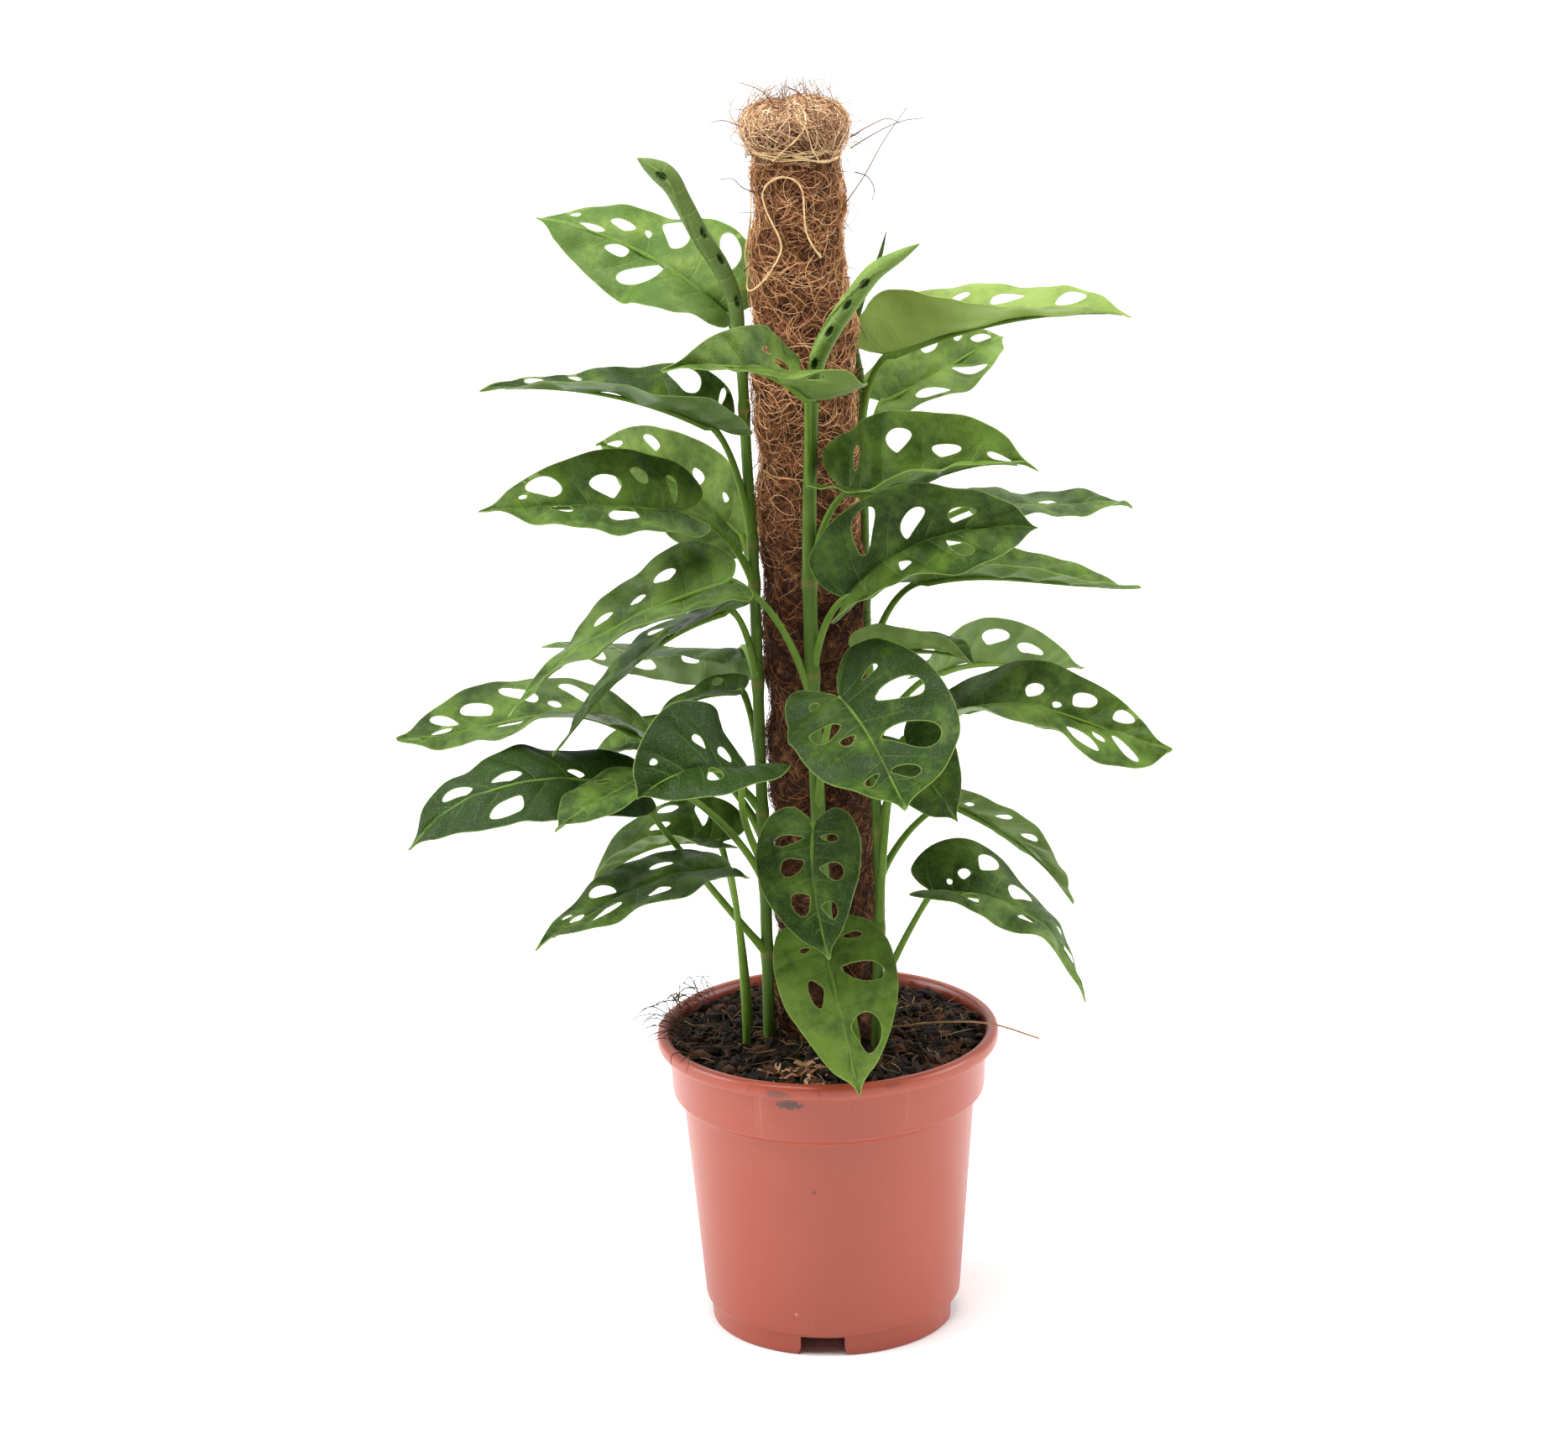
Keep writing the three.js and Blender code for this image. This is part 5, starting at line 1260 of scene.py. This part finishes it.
def stray_paths(rng):
    """Loose fibres that stand off the sleeve."""
    shape = (FIBRES["stray"]["count"], 1)
    low = POLE["foot"] + 60
    z = low + (TIE - low) * rng.random(shape) ** 0.8
    angle = rng.uniform(0, 2 * np.pi, shape)
    length = 2.5 + 10 * rng.random(shape) ** 2
    rise = rng.uniform(-1.2, 1.2, shape)
    sweep = rng.normal(0, 0.4, shape)
    t = np.arange(5) / 4
    out = length * t**1.3
    return pole_point(z + rise * out, angle + sweep * t, -1.4 + 0.8 * out)


def add_bun_core(material):
    """The matted body of the bun, under its fibres."""
    rings, sides = 60, 90
    way = np.linspace(0, 1, rings)[:, None]
    angle = around(sides)[None]
    lumps = sum(np.sin(a * angle + b * way + c) for a, b, c in ((6, 13, 0), (10, -19, 2), (15, 31, 4)))
    place = bun_point(way + 0 * angle, angle + 0 * way, -1.4 + 0.35 * lumps)
    body = capped(place, [place[0].mean(0), place[-1].mean(0)])
    add_piece("coir_bun_mat", *body, material, "coir", (), one_tone(body, 0.05))


def add_wisps(material):
    """The long fibres of WISPS, each thinner towards its end."""
    paths = [smooth(route, 10, 1.5) for route in WISPS]
    body = joined([tube(path, np.linspace(0.32, 0.16, len(path)), 5) for path in paths])
    add_piece("coir_wisps", *body, material, "coir", (), one_tone(body, 0.1))


def add_coir(material, tan):
    """The sleeve's mat and fibres, in bands, and over them the bun in a lighter tan."""
    add_coir_core(material)
    rng = np.random.default_rng(5)
    heights = np.linspace(POLE["foot"] + 30, TIE - 1, BANDS + 1)
    for k in range(BANDS):
        low, high = heights[k], heights[k + 1]
        fibres = fibre_paths("deep", low, high, rng, steps=5, out=(-2.1, -1.0))
        curls = fibre_paths("curl", low, high, rng, steps=6, out=(-1.4, 0))
        add_fibres(f"coir_fibres_{k + 1}", fibres, material, rng, "deep", darker_below=DARKER_BELOW)
        add_fibres(f"coir_curls_{k + 1}", curls, material, rng, "curl", darker_below=DARKER_BELOW)
    add_fibres("coir_strays", stray_paths(rng), material, rng, "stray", darker_below=DARKER_BELOW)
    add_bun_core(tan)
    add_fibres("coir_bun", bun_paths(rng), tan, rng, "bun")
    add_fibres("coir_bun_strays", bun_strays(rng), tan, rng, "bun_stray")
    add_wisps(tan)


# ---- twine ----
TWINE_TONE = 0.75

# the strands of the tie: (degrees from the front, height) along each
TIE_STRANDS = [
    [(-185, 599), (-120, 600), (-60, 600.5), (-26, 599), (0, 600.5), (24, 601), (66, 598.5), (120, 597),
     (175, 599)],
    [(-190, 597), (-110, 598), (-48, 598.5), (-26, 597.5), (8, 598), (34, 596), (72, 596), (125, 599),
     (170, 597)],
    [(-60, 599), (-40, 600.5), (-15, 601), (10, 599), (34, 600), (56, 603.5), (72, 607), (95, 604),
     (130, 600)],
]

# loops of twine over the bun: (degrees from the front, part of the way up it)
BUN_LOOPS = [
    [(-28, 0.06), (-16, 0.16), (0, 0.3), (12, 0.42), (15, 0.56), (14, 0.78), (8, 0.95)],
    [(28, 0.05), (20, 0.18), (16, 0.3), (12, 0.42), (6, 0.5), (2, 0.6)],
    [(172, 0.06), (178, 0.3), (184, 0.6), (190, 0.95)],
]

# the loose end: down the sleeve's left side, round a loop and an arch in front, and free at its end
TWINE_END = [
    (-112, 597), (-104, 580), (-95, 562), (-90, 548), (-89, 537), (-84, 531.5), (-66, 532), (-42, 539),
    (-30, 546), (-22, 554), (-24, 561), (-32, 567.5), (-42, 573.5), (-46, 580), (-36, 586), (-18, 589.5),
    (-2, 588), (6, 583), (7, 573), (9, 563), (16, 556), (25, 550),
]


def on_sleeve(route, out):
    """Places out from the sleeve's surface, on a route of (degrees from the front, height)."""
    return np.array([pole_point(np.float64(z), math.radians(turn - 90), out) for turn, z in route])


def frayed(path, strands, spread, radius, rng):
    """Twine as several fine strands that wander round its line."""
    ups = carried_ups(path)
    across = np.cross(unit(np.gradient(path, axis=0)), ups)
    along = lengths_along(path)
    parts = []
    for k in range(strands):
        turn = 2 * np.pi * (k / strands + along / 26) + 0.8 * np.sin(along / 7 + rng.uniform(0, 6))
        reach = spread * (0.8 + 0.35 * np.sin(along / rng.uniform(5, 9) + rng.uniform(0, 6)))
        line = path + ups * (reach * np.cos(turn))[:, None] + across * (reach * np.sin(turn))[:, None]
        parts.append(tube(line, np.full(len(line), radius * rng.uniform(0.85, 1.15)), 7))
    return joined(parts)


def add_twine(material):
    """The tie with the loops over the bun, and the loose end, which is a cord."""
    rng = np.random.default_rng(11)
    parts = []
    for route in TIE_STRANDS:
        path = smooth(on_sleeve(route, 1.3), 12, 0.9)
        parts.append(frayed(path, strands=3, spread=0.55, radius=0.32, rng=rng))
    for route in BUN_LOOPS:
        knots = [bun_point(np.float64(way), math.radians(turn - 90), 1.2) for turn, way in route]
        parts.append(frayed(smooth(knots, 12, 0.9), strands=2, spread=0.3, radius=0.26, rng=rng))
    body = joined(parts)
    add_piece("twine_turns", *body, material, "twine", ["twine_tie"], one_tone(body, TWINE_TONE))
    path = smooth(on_sleeve(TWINE_END, 1.0), 16, 0.8)
    body = frayed(path, strands=3, spread=0.3, radius=0.27, rng=rng)
    piece = add_piece("twine_loose_end", *body, material, "twine", ["twine_loop", "twine_tail"],
                      one_tone(body, TWINE_TONE))


# ---- soil ----
def soil_height(x, y):
    """The height of the heaped and lumpy soil over a place."""
    r = np.hypot(x, y) / SOIL["radius"]
    heap = SOIL["edge"] + (SOIL["crown"] - SOIL["edge"]) * (1 - r**2)
    clods = np.sin(0.19 * x + 1.1) * np.cos(0.23 * y) + 0.6 * np.sin(0.37 * (x - y))
    lumps = np.sin(0.55 * x + 2) * np.sin(0.6 * y + 1) + 0.8 * np.sin(0.9 * x - 0.7 * y + 3)
    fine = np.sin(1.6 * x + 1) * np.sin(1.4 * y + 2) + 0.7 * np.sin(2.3 * x + 1.9 * y)
    return heap + 0.9 * clods + 0.8 * lumps + 0.45 * fine


def add_soil(material):
    """The soil as a body: its lumpy top, a wall down inside the pot, and a flat underside."""
    rings, sides = 60, 160
    r = np.linspace(0.5, SOIL["radius"], rings)[:, None]
    angle = around(sides)[None]
    x, y = r * np.cos(angle), r * np.sin(angle)
    top = np.stack([x, y, soil_height(x, y)], -1).reshape(-1, 3)
    low_ring = top[-sides:].copy()
    low_ring[:, 2] = ROOTED + 4
    a, b = ring_grid(rings, sides)
    k, near = next_round(sides)
    low, last = rings * sides, (rings - 1) * sides
    centre_top, centre_low = low + sides, low + sides + 1
    faces = [
        quads(a, a + sides, b + sides, b), quads(last + k, low + k, low + near, last + near),
        fan(centre_top, k, near), fan(centre_low, low + near, low + k),
    ]
    centres = np.array([[0, 0, soil_height(0.0, 0.0)], [0, 0, ROOTED + 4]])
    points = np.vstack([top, low_ring, centres])
    add_piece("potting_mix", points, np.vstack(faces), material, "soil", ["soil"])


def scattered(count, margin, rng):
    """Places in x and y spread evenly over the soil, a margin clear of its edge."""
    r = (SOIL["radius"] - margin) * np.sqrt(rng.random(count))
    angle = rng.uniform(0, 2 * np.pi, count)
    return r * np.cos(angle), r * np.sin(angle)


def icosahedron():
    """The 12 corners, at radius 1, and the 20 faces, which all face outwards."""
    golden = (1 + math.sqrt(5)) / 2
    signs = [(a, b * golden) for a in (-1, 1) for b in (-1, 1)]
    corners = [(0, a, b) for a, b in signs] + [(a, b, 0) for a, b in signs] + [(b, 0, a) for a, b in signs]
    corners = unit(np.array(corners, float))
    gaps = np.linalg.norm(corners[:, None] - corners[None], axis=-1)
    faces = []
    for i, j, k in itertools.combinations(range(12), 3):
        if max(gaps[i, j], gaps[j, k], gaps[i, k]) < 1.1:
            outward = np.dot(np.cross(corners[j] - corners[i], corners[k] - corners[i]), corners[i]) > 0
            faces.append((i, j, k) if outward else (i, k, j))
    return corners, np.array(faces)


def add_crumbs(material):
    """Crumbs and clods of peat lying on the soil: squashed, uneven icosahedra."""
    rng = np.random.default_rng(3)
    count = 2700
    corners, faces = icosahedron()
    x, y = scattered(count, 2, rng)
    size = 0.6 + 3.4 * rng.random(count) ** 3
    centre = np.stack([x, y, soil_height(x, y) + 0.3 * size], -1)
    shape = corners[None] * (size[:, None, None] * rng.uniform(0.5, 1.4, (count, 12, 1)))
    shape = shape * rng.uniform([0.6, 0.6, 0.4], [1.5, 1.5, 1.0], (count, 1, 3))
    points = (centre[:, None] + shape).reshape(-1, 3)
    all_faces = (faces[None] + 12 * np.arange(count)[:, None, None]).reshape(-1, 3)
    tone = np.repeat(rng.random(count), 12)
    add_piece("peat_crumbs", points, all_faces, material, "soil", (), {"tone": tone}, sharp=25)


def curl_paths(starts, headings, lengths, rise, rng, steps=7):
    """Short curly fibres from given places, with a heading each in plan and a height that arches."""
    place = np.array(starts, float)
    heading = np.array(headings, float)
    bend = rng.normal(0, 0.09, len(place))
    step = lengths / (steps - 1)
    path = []
    for k in range(steps):
        t = k / (steps - 1)
        path.append(place + np.column_stack([0 * heading, 0 * heading, rise * np.sin(np.pi * t * 0.9)]))
        place = place + np.column_stack([step * np.cos(heading), step * np.sin(heading), 0 * heading])
        heading = heading + bend * step + rng.normal(0, 0.25, len(heading))
    return np.stack(path, 1)


def add_soil_fibres(material):
    """Rootlets and fibres in the peat."""
    rng = np.random.default_rng(8)
    count = FIBRES["peat"]["count"]
    x, y = scattered(count, 4, rng)
    starts = np.column_stack([x, y, soil_height(x, y) + rng.uniform(0.2, 1.6, count)])
    paths = curl_paths(starts, rng.uniform(0, 6.3, count), rng.uniform(5, 22, count),
                       rng.uniform(0, 2.5, count), rng)
    add_fibres("peat_fibres", paths, material, rng, "peat", slot="soil")
    add_rim_rootlets(material, rng)


def add_rim_rootlets(material, rng):
    """A tuft of rootlets that hangs over the pot's rim on the left."""
    count = FIBRES["rootlet"]["count"]
    angle = np.radians(rng.uniform(140, 215, count))
    r = rng.uniform(70, 78, count)
    starts = np.column_stack([r * np.cos(angle), r * np.sin(angle), rng.uniform(151, 155, count)])
    paths = curl_paths(starts, angle + rng.normal(0, 0.7, count), rng.uniform(9, 26, count),
                       rng.uniform(2, 9, count), rng, steps=9)
    add_fibres("rim_rootlets", paths, material, rng, "rootlet", slot="soil")


def add_straw(material):
    """One long dry straw that lies on the soil and sticks out over the rim."""
    route = [(14, -8, 152.5), (34, -14, 156), (58, -20, 160), (80, -25, 160.5), (104, -30, 154)]
    path = smooth(route, 10, 2.0)
    body = tube(path, np.linspace(0.7, 0.5, len(path)), 6)
    add_piece("dry_straw", *body, material, "soil", (), one_tone(body, 0.7))


def scrap(rng):
    """One curled and crumpled scrap of dry leaf, on the soil in front."""
    centre = np.array([rng.normal(-14, 10), rng.normal(-61, 8), 0])
    centre[2] = soil_height(centre[0], centre[1]) + rng.uniform(0.6, 2.6)
    nx, ny = 7, 4
    u, v = np.meshgrid(np.linspace(-1, 1, nx), np.linspace(-1, 1, ny), indexing="ij")
    size = rng.uniform(1.5, 5.5)
    x = u * size * (1 - 0.3 * v**2)
    y = v * size * rng.uniform(0.25, 0.5) * (1 - 0.5 * u**2)
    curl = 0.25 * size * np.sin(2.2 * u + rng.uniform(0, 6))
    z = curl + 0.2 * size * v**2 + rng.normal(0, 0.15, u.shape)
    turn, tip = rng.uniform(0, 6.3), rng.uniform(-0.7, 0.7)
    flat = np.stack([x, y, z], -1).reshape(-1, 3)
    flat = turned(flat, np.array([1.0, 0, 0]), np.full(len(flat), tip))
    flat = turned(flat, np.array([0, 0, 1.0]), np.full(len(flat), turn)) + centre
    a = (np.arange(nx - 1)[:, None] * ny + np.arange(ny - 1)).ravel()
    return shell(flat, quads(a, a + ny, a + ny + 1, a + 1), np.full(len(flat), 0.3))


def add_litter(material):
    """The scraps of dry leaf, each in a tone of its own."""
    rng = np.random.default_rng(21)
    count = 54
    points, faces = joined([scrap(rng) for _ in range(count)])
    tone = np.repeat(rng.uniform(0.2, 1.0, count), len(points) // count)
    add_piece("dry_scraps", points, faces, material, "soil", (), {"tone": tone})


# ---- pot ----
def rounded(profile, fillet):
    """The profile with each inner corner cut back and rounded."""
    points = [np.array(profile[0], float)]
    for before, corner, after in zip(profile, profile[1:], profile[2:]):
        before, corner, after = (np.array(p, float) for p in (before, corner, after))
        cut = min(fillet, 0.45 * np.linalg.norm(corner - before), 0.45 * np.linalg.norm(after - corner))
        start, end = corner + cut * unit(before - corner), corner + cut * unit(after - corner)
        points += list(bezier(start, corner, end, 4))
    return np.array(points + [np.array(profile[-1], float)])


def lathe(profile, sides):
    """A closed body turned from a profile that starts and ends on the axis."""
    r, z = profile[1:-1, 0, None], profile[1:-1, 1, None]
    angle = around(sides)
    points = np.stack([r * np.cos(angle), r * np.sin(angle), z + 0 * angle], -1).reshape(-1, 3)
    a, b = ring_grid(len(r), sides)
    faces = np.stack([a, b, b + sides, a + sides], -1).tolist()
    first, last = len(points), len(points) + 1
    top = first - sides
    for k, near in zip(*next_round(sides)):
        faces += [[first, near, k], [last, top + k, top + near]]
    return np.vstack([points, [0, 0, profile[0][1]], [0, 0, profile[-1][1]]]), faces


def cutter(name, points, faces):
    """A body to be cut out of a piece."""
    return bpy.data.objects.new(name, new_mesh(name, points, faces))


def notch_body(turn):
    """A gap across the foot ring, flared at the table, turned round the pot's axis."""
    w, d, height = NOTCH["width"] / 2, 1.5 * POT["ring_wall"], NOTCH["height"]
    flare = [(w + 4.2, -height), (w + 4.2, 0), (w + 1.7, 0.7), (w + 0.4, 2.2), (w, 4.4), (w, height)]
    section = flare + [(-x, z) for x, z in reversed(flare)]
    points = [(x, -POT["ring"] + y, z) for y in (-d, d) for x, z in section]
    c, s = math.cos(turn), math.sin(turn)
    points = np.array([(x * c - y * s, x * s + y * c, z) for x, y, z in points])
    count = len(section)
    sides = [[k, (k + 1) % count, (k + 1) % count + count, k + count] for k in range(count)]
    return points, [list(range(count))[::-1], list(range(count, 2 * count)), *[side[::-1] for side in sides]]


def drain_body(angle):
    """A drill through the floor, at an angle round the pot's axis."""
    x, y = DRAIN["ring"] * math.cos(angle), DRAIN["ring"] * math.sin(angle)
    heights = (POT["floor"] - 5, POT["floor"] + 1, POT["floor_top"] + 5)
    return tube(np.array([(x, y, z) for z in heights]), [DRAIN["radius"]] * 3, 24)


def pot_profile():
    """Half of the pot's section, [radius, height]: up its outside, over the lip and down its inside."""
    p = POT
    lip = p["height"] - p["lip"]
    slope = (p["wall_top"] - p["wall_foot"]) / (p["collar_foot"] - p["foot_step"])
    inner_foot = p["wall_foot"] + slope * (p["floor_top"] - p["foot_step"]) - p["wall"]
    return [
        (0, p["floor"]), (p["ring"] - p["ring_wall"], p["floor"]), (p["ring"] - p["ring_wall"], 0),
        (p["ring"], 0), (p["ring"] + 0.6, p["foot_step"] - 1), (p["wall_foot"], p["foot_step"]),
        (p["wall_top"], p["collar_foot"] - 3), (p["collar"] - 1, p["collar_foot"]),
        (p["collar"] + 0.4, lip - 1), (p["rim"] - 1.2, lip), (p["rim"], lip + 2.4),
        (p["rim"] - 0.4, p["height"] - 1.6), (p["rim"] - 2.4, p["height"]),
        (p["rim"] - 5.2, p["height"] - 0.4), (p["rim"] - 6.6, p["height"] - 3),
        (p["collar"] - p["wall"] - 0.6, p["collar_foot"] + 2),
        (p["wall_top"] - p["wall"], p["collar_foot"] - 3), (inner_foot, p["floor_top"]), (0, p["floor_top"]),
    ]


def add_pot(material):
    """The pot: a turned body with notches and drainage holes cut out of it."""
    points, faces = lathe(rounded(pot_profile(), 1.6), 192)
    pot = add_piece("nursery_pot", points, faces, material, "pot", ["pot"])
    cutters = []
    for k in range(NOTCH["count"]):
        turn = math.radians(NOTCH["turn"]) + 2 * math.pi * k / NOTCH["count"]
        cutters.append(cutter(f"notch_{k}", *notch_body(turn)))
    for k in range(DRAIN["count"]):
        cutters.append(cutter(f"drain_{k}", *drain_body(2 * math.pi * (k + 0.5) / DRAIN["count"])))
    carve(pot, cutters)


def carve(piece, cutters):
    """Cuts each body out of a piece and removes it."""
    for body in cutters:
        bpy.context.scene.collection.objects.link(body)
        modifier = piece.modifiers.new("cut", "BOOLEAN")
        modifier.operation = "DIFFERENCE"
        modifier.object = body
        modifier.solver = "EXACT"
    evaluated = piece.evaluated_get(bpy.context.evaluated_depsgraph_get())
    result = bpy.data.meshes.new_from_object(evaluated)
    piece.modifiers.clear()
    piece.data = result
    result.shade_smooth()
    result.set_sharp_from_angle(angle=math.radians(40))
    for body in cutters:
        bpy.data.objects.remove(body)


# ---- camera, light and floor ----
# area lights: name, size, watts, place and the point it faces, in metres
LIGHTS = [
    ("left_box", 1.4, 50, (-2.3, -0.1, 1.2), (0, 0, 0.3)),
    ("right_box", 1.4, 44, (2.3, -0.1, 1.2), (0, 0, 0.3)),
    ("top_box", 1.6, 80, (-0.3, -0.55, 2.5), (0, 0, 0.3)),
    ("back_box", 3.0, 42, (0, 3.0, 2.6), (0, 3.2, 0)),
]
# place in mm round the pot's axis, downward pitch and roll in degrees, lens and sensor in mm
CAMERA = {"place": (-17.9, -3000, 1290), "pitch": 18, "roll": -1.39, "lens": 148.0, "sensor": 36}


def add_light(name, size, watts, place, aim):
    """A square area light that faces a point."""
    light = bpy.data.lights.new(name, "AREA")
    light.size = size
    light.energy = watts
    lamp = bpy.data.objects.new(name, light)
    lamp.location = place
    lamp.rotation_euler = (Vector(aim) - Vector(place)).to_track_quat("-Z", "Y").to_euler()
    bpy.context.scene.collection.objects.link(lamp)


def add_world():
    """White behind the plant and beside it, but dim where the camera stands."""
    world = bpy.data.worlds.new("studio")
    world.use_nodes = True
    tree = world.node_tree
    direction = tree.nodes.new("ShaderNodeTexCoord").outputs["Generated"]
    split = tree.nodes.new("ShaderNodeSeparateXYZ")
    level = tree.nodes.new("ShaderNodeMapRange")
    for key, value in (("From Min", -0.6), ("From Max", 0.3), ("To Min", 0.12), ("To Max", 1.05)):
        level.inputs[key].default_value = value
    tree.links.new(direction, split.inputs[0])
    tree.links.new(split.outputs["Y"], level.inputs["Value"])
    tree.links.new(level.outputs["Result"], tree.nodes["Background"].inputs["Strength"])
    tree.nodes["Background"].inputs["Color"].default_value = (1, 1, 1, 1)
    bpy.context.scene.world = world


def add_studio():
    """A wide white floor, the world and the lights."""
    floor_mesh = bpy.data.meshes.new("studio_floor")
    reach = 9
    corners = [(x * reach, y * reach, 0) for x, y in ((-1, -1), (1, -1), (1, 1), (-1, 1))]
    floor_mesh.from_pydata(corners, [], [(0, 1, 2, 3)])
    floor = bpy.data.objects.new("studio_floor", floor_mesh)
    bpy.context.scene.collection.objects.link(floor)
    n = Nodes("studio_white", roughness=0.9, specular=0.1)
    tone = n.noise(n.place(), 0.5)
    floor_mesh.materials.append(n.finish(n.mix(tone, (0.9, 0.9, 0.9, 1), (0.94, 0.94, 0.94, 1))))
    add_world()
    for light in LIGHTS:
        add_light(*light)
    bpy.context.scene.view_settings.view_transform = "Standard"


def add_camera():
    """A long lens that looks slightly down at the plant from in front."""
    data = bpy.data.cameras.new("camera")
    data.sensor_width = CAMERA["sensor"]
    data.lens = CAMERA["lens"]
    data.clip_end = 20
    camera = bpy.data.objects.new("camera", data)
    shift = Matrix.Translation(((AXIS + np.array(CAMERA["place"])) * MM).tolist())
    pitch = Matrix.Rotation(math.radians(90 - CAMERA["pitch"]), 4, "X")
    aim = pitch @ Matrix.Rotation(math.radians(CAMERA["roll"]), 4, "Z")
    camera.matrix_world = shift @ aim
    bpy.context.scene.collection.objects.link(camera)
    bpy.context.scene.camera = camera


# ---- build ----
leaf_skin = leaf_material()
stem_skin = stem_material()
coir = fibre_material("coir_brown", rgb(54, 29, 17), rgb(156, 101, 63), rgb(234, 187, 136))
coir_tan = fibre_material("coir_tan", rgb(84, 54, 36), rgb(168, 124, 88), rgb(238, 206, 166))
twine = fibre_material("jute_twine", rgb(140, 108, 66), rgb(204, 170, 118), rgb(236, 208, 160))
litter = fibre_material("dry_litter", rgb(84, 52, 34), rgb(152, 106, 76), rgb(206, 168, 130))
fibres = fibre_material("root_fibres", rgb(30, 18, 12), rgb(84, 60, 40), rgb(164, 134, 96))
soil = soil_material()

add_pot(pot_material())
add_soil(soil)
add_crumbs(soil)
add_soil_fibres(fibres)
add_litter(litter)
add_straw(litter)
add_coir(coir, coir_tan)
add_twine(twine)
for stem_name, stem_data in STEMS.items():
    add_stem(stem_name, stem_data, stem_skin)
for index, (leaf_name, leaf_data) in enumerate(LEAVES.items()):
    add_leaf(leaf_name, leaf_data, leaf_skin, index)
for leaf_name, leaf_data in ROLLED.items():
    add_rolled(leaf_name, leaf_data, leaf_skin)
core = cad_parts["pole_core"]
core.data.materials.clear()
core.data.materials.append(wood_material())
add_studio()
add_camera()
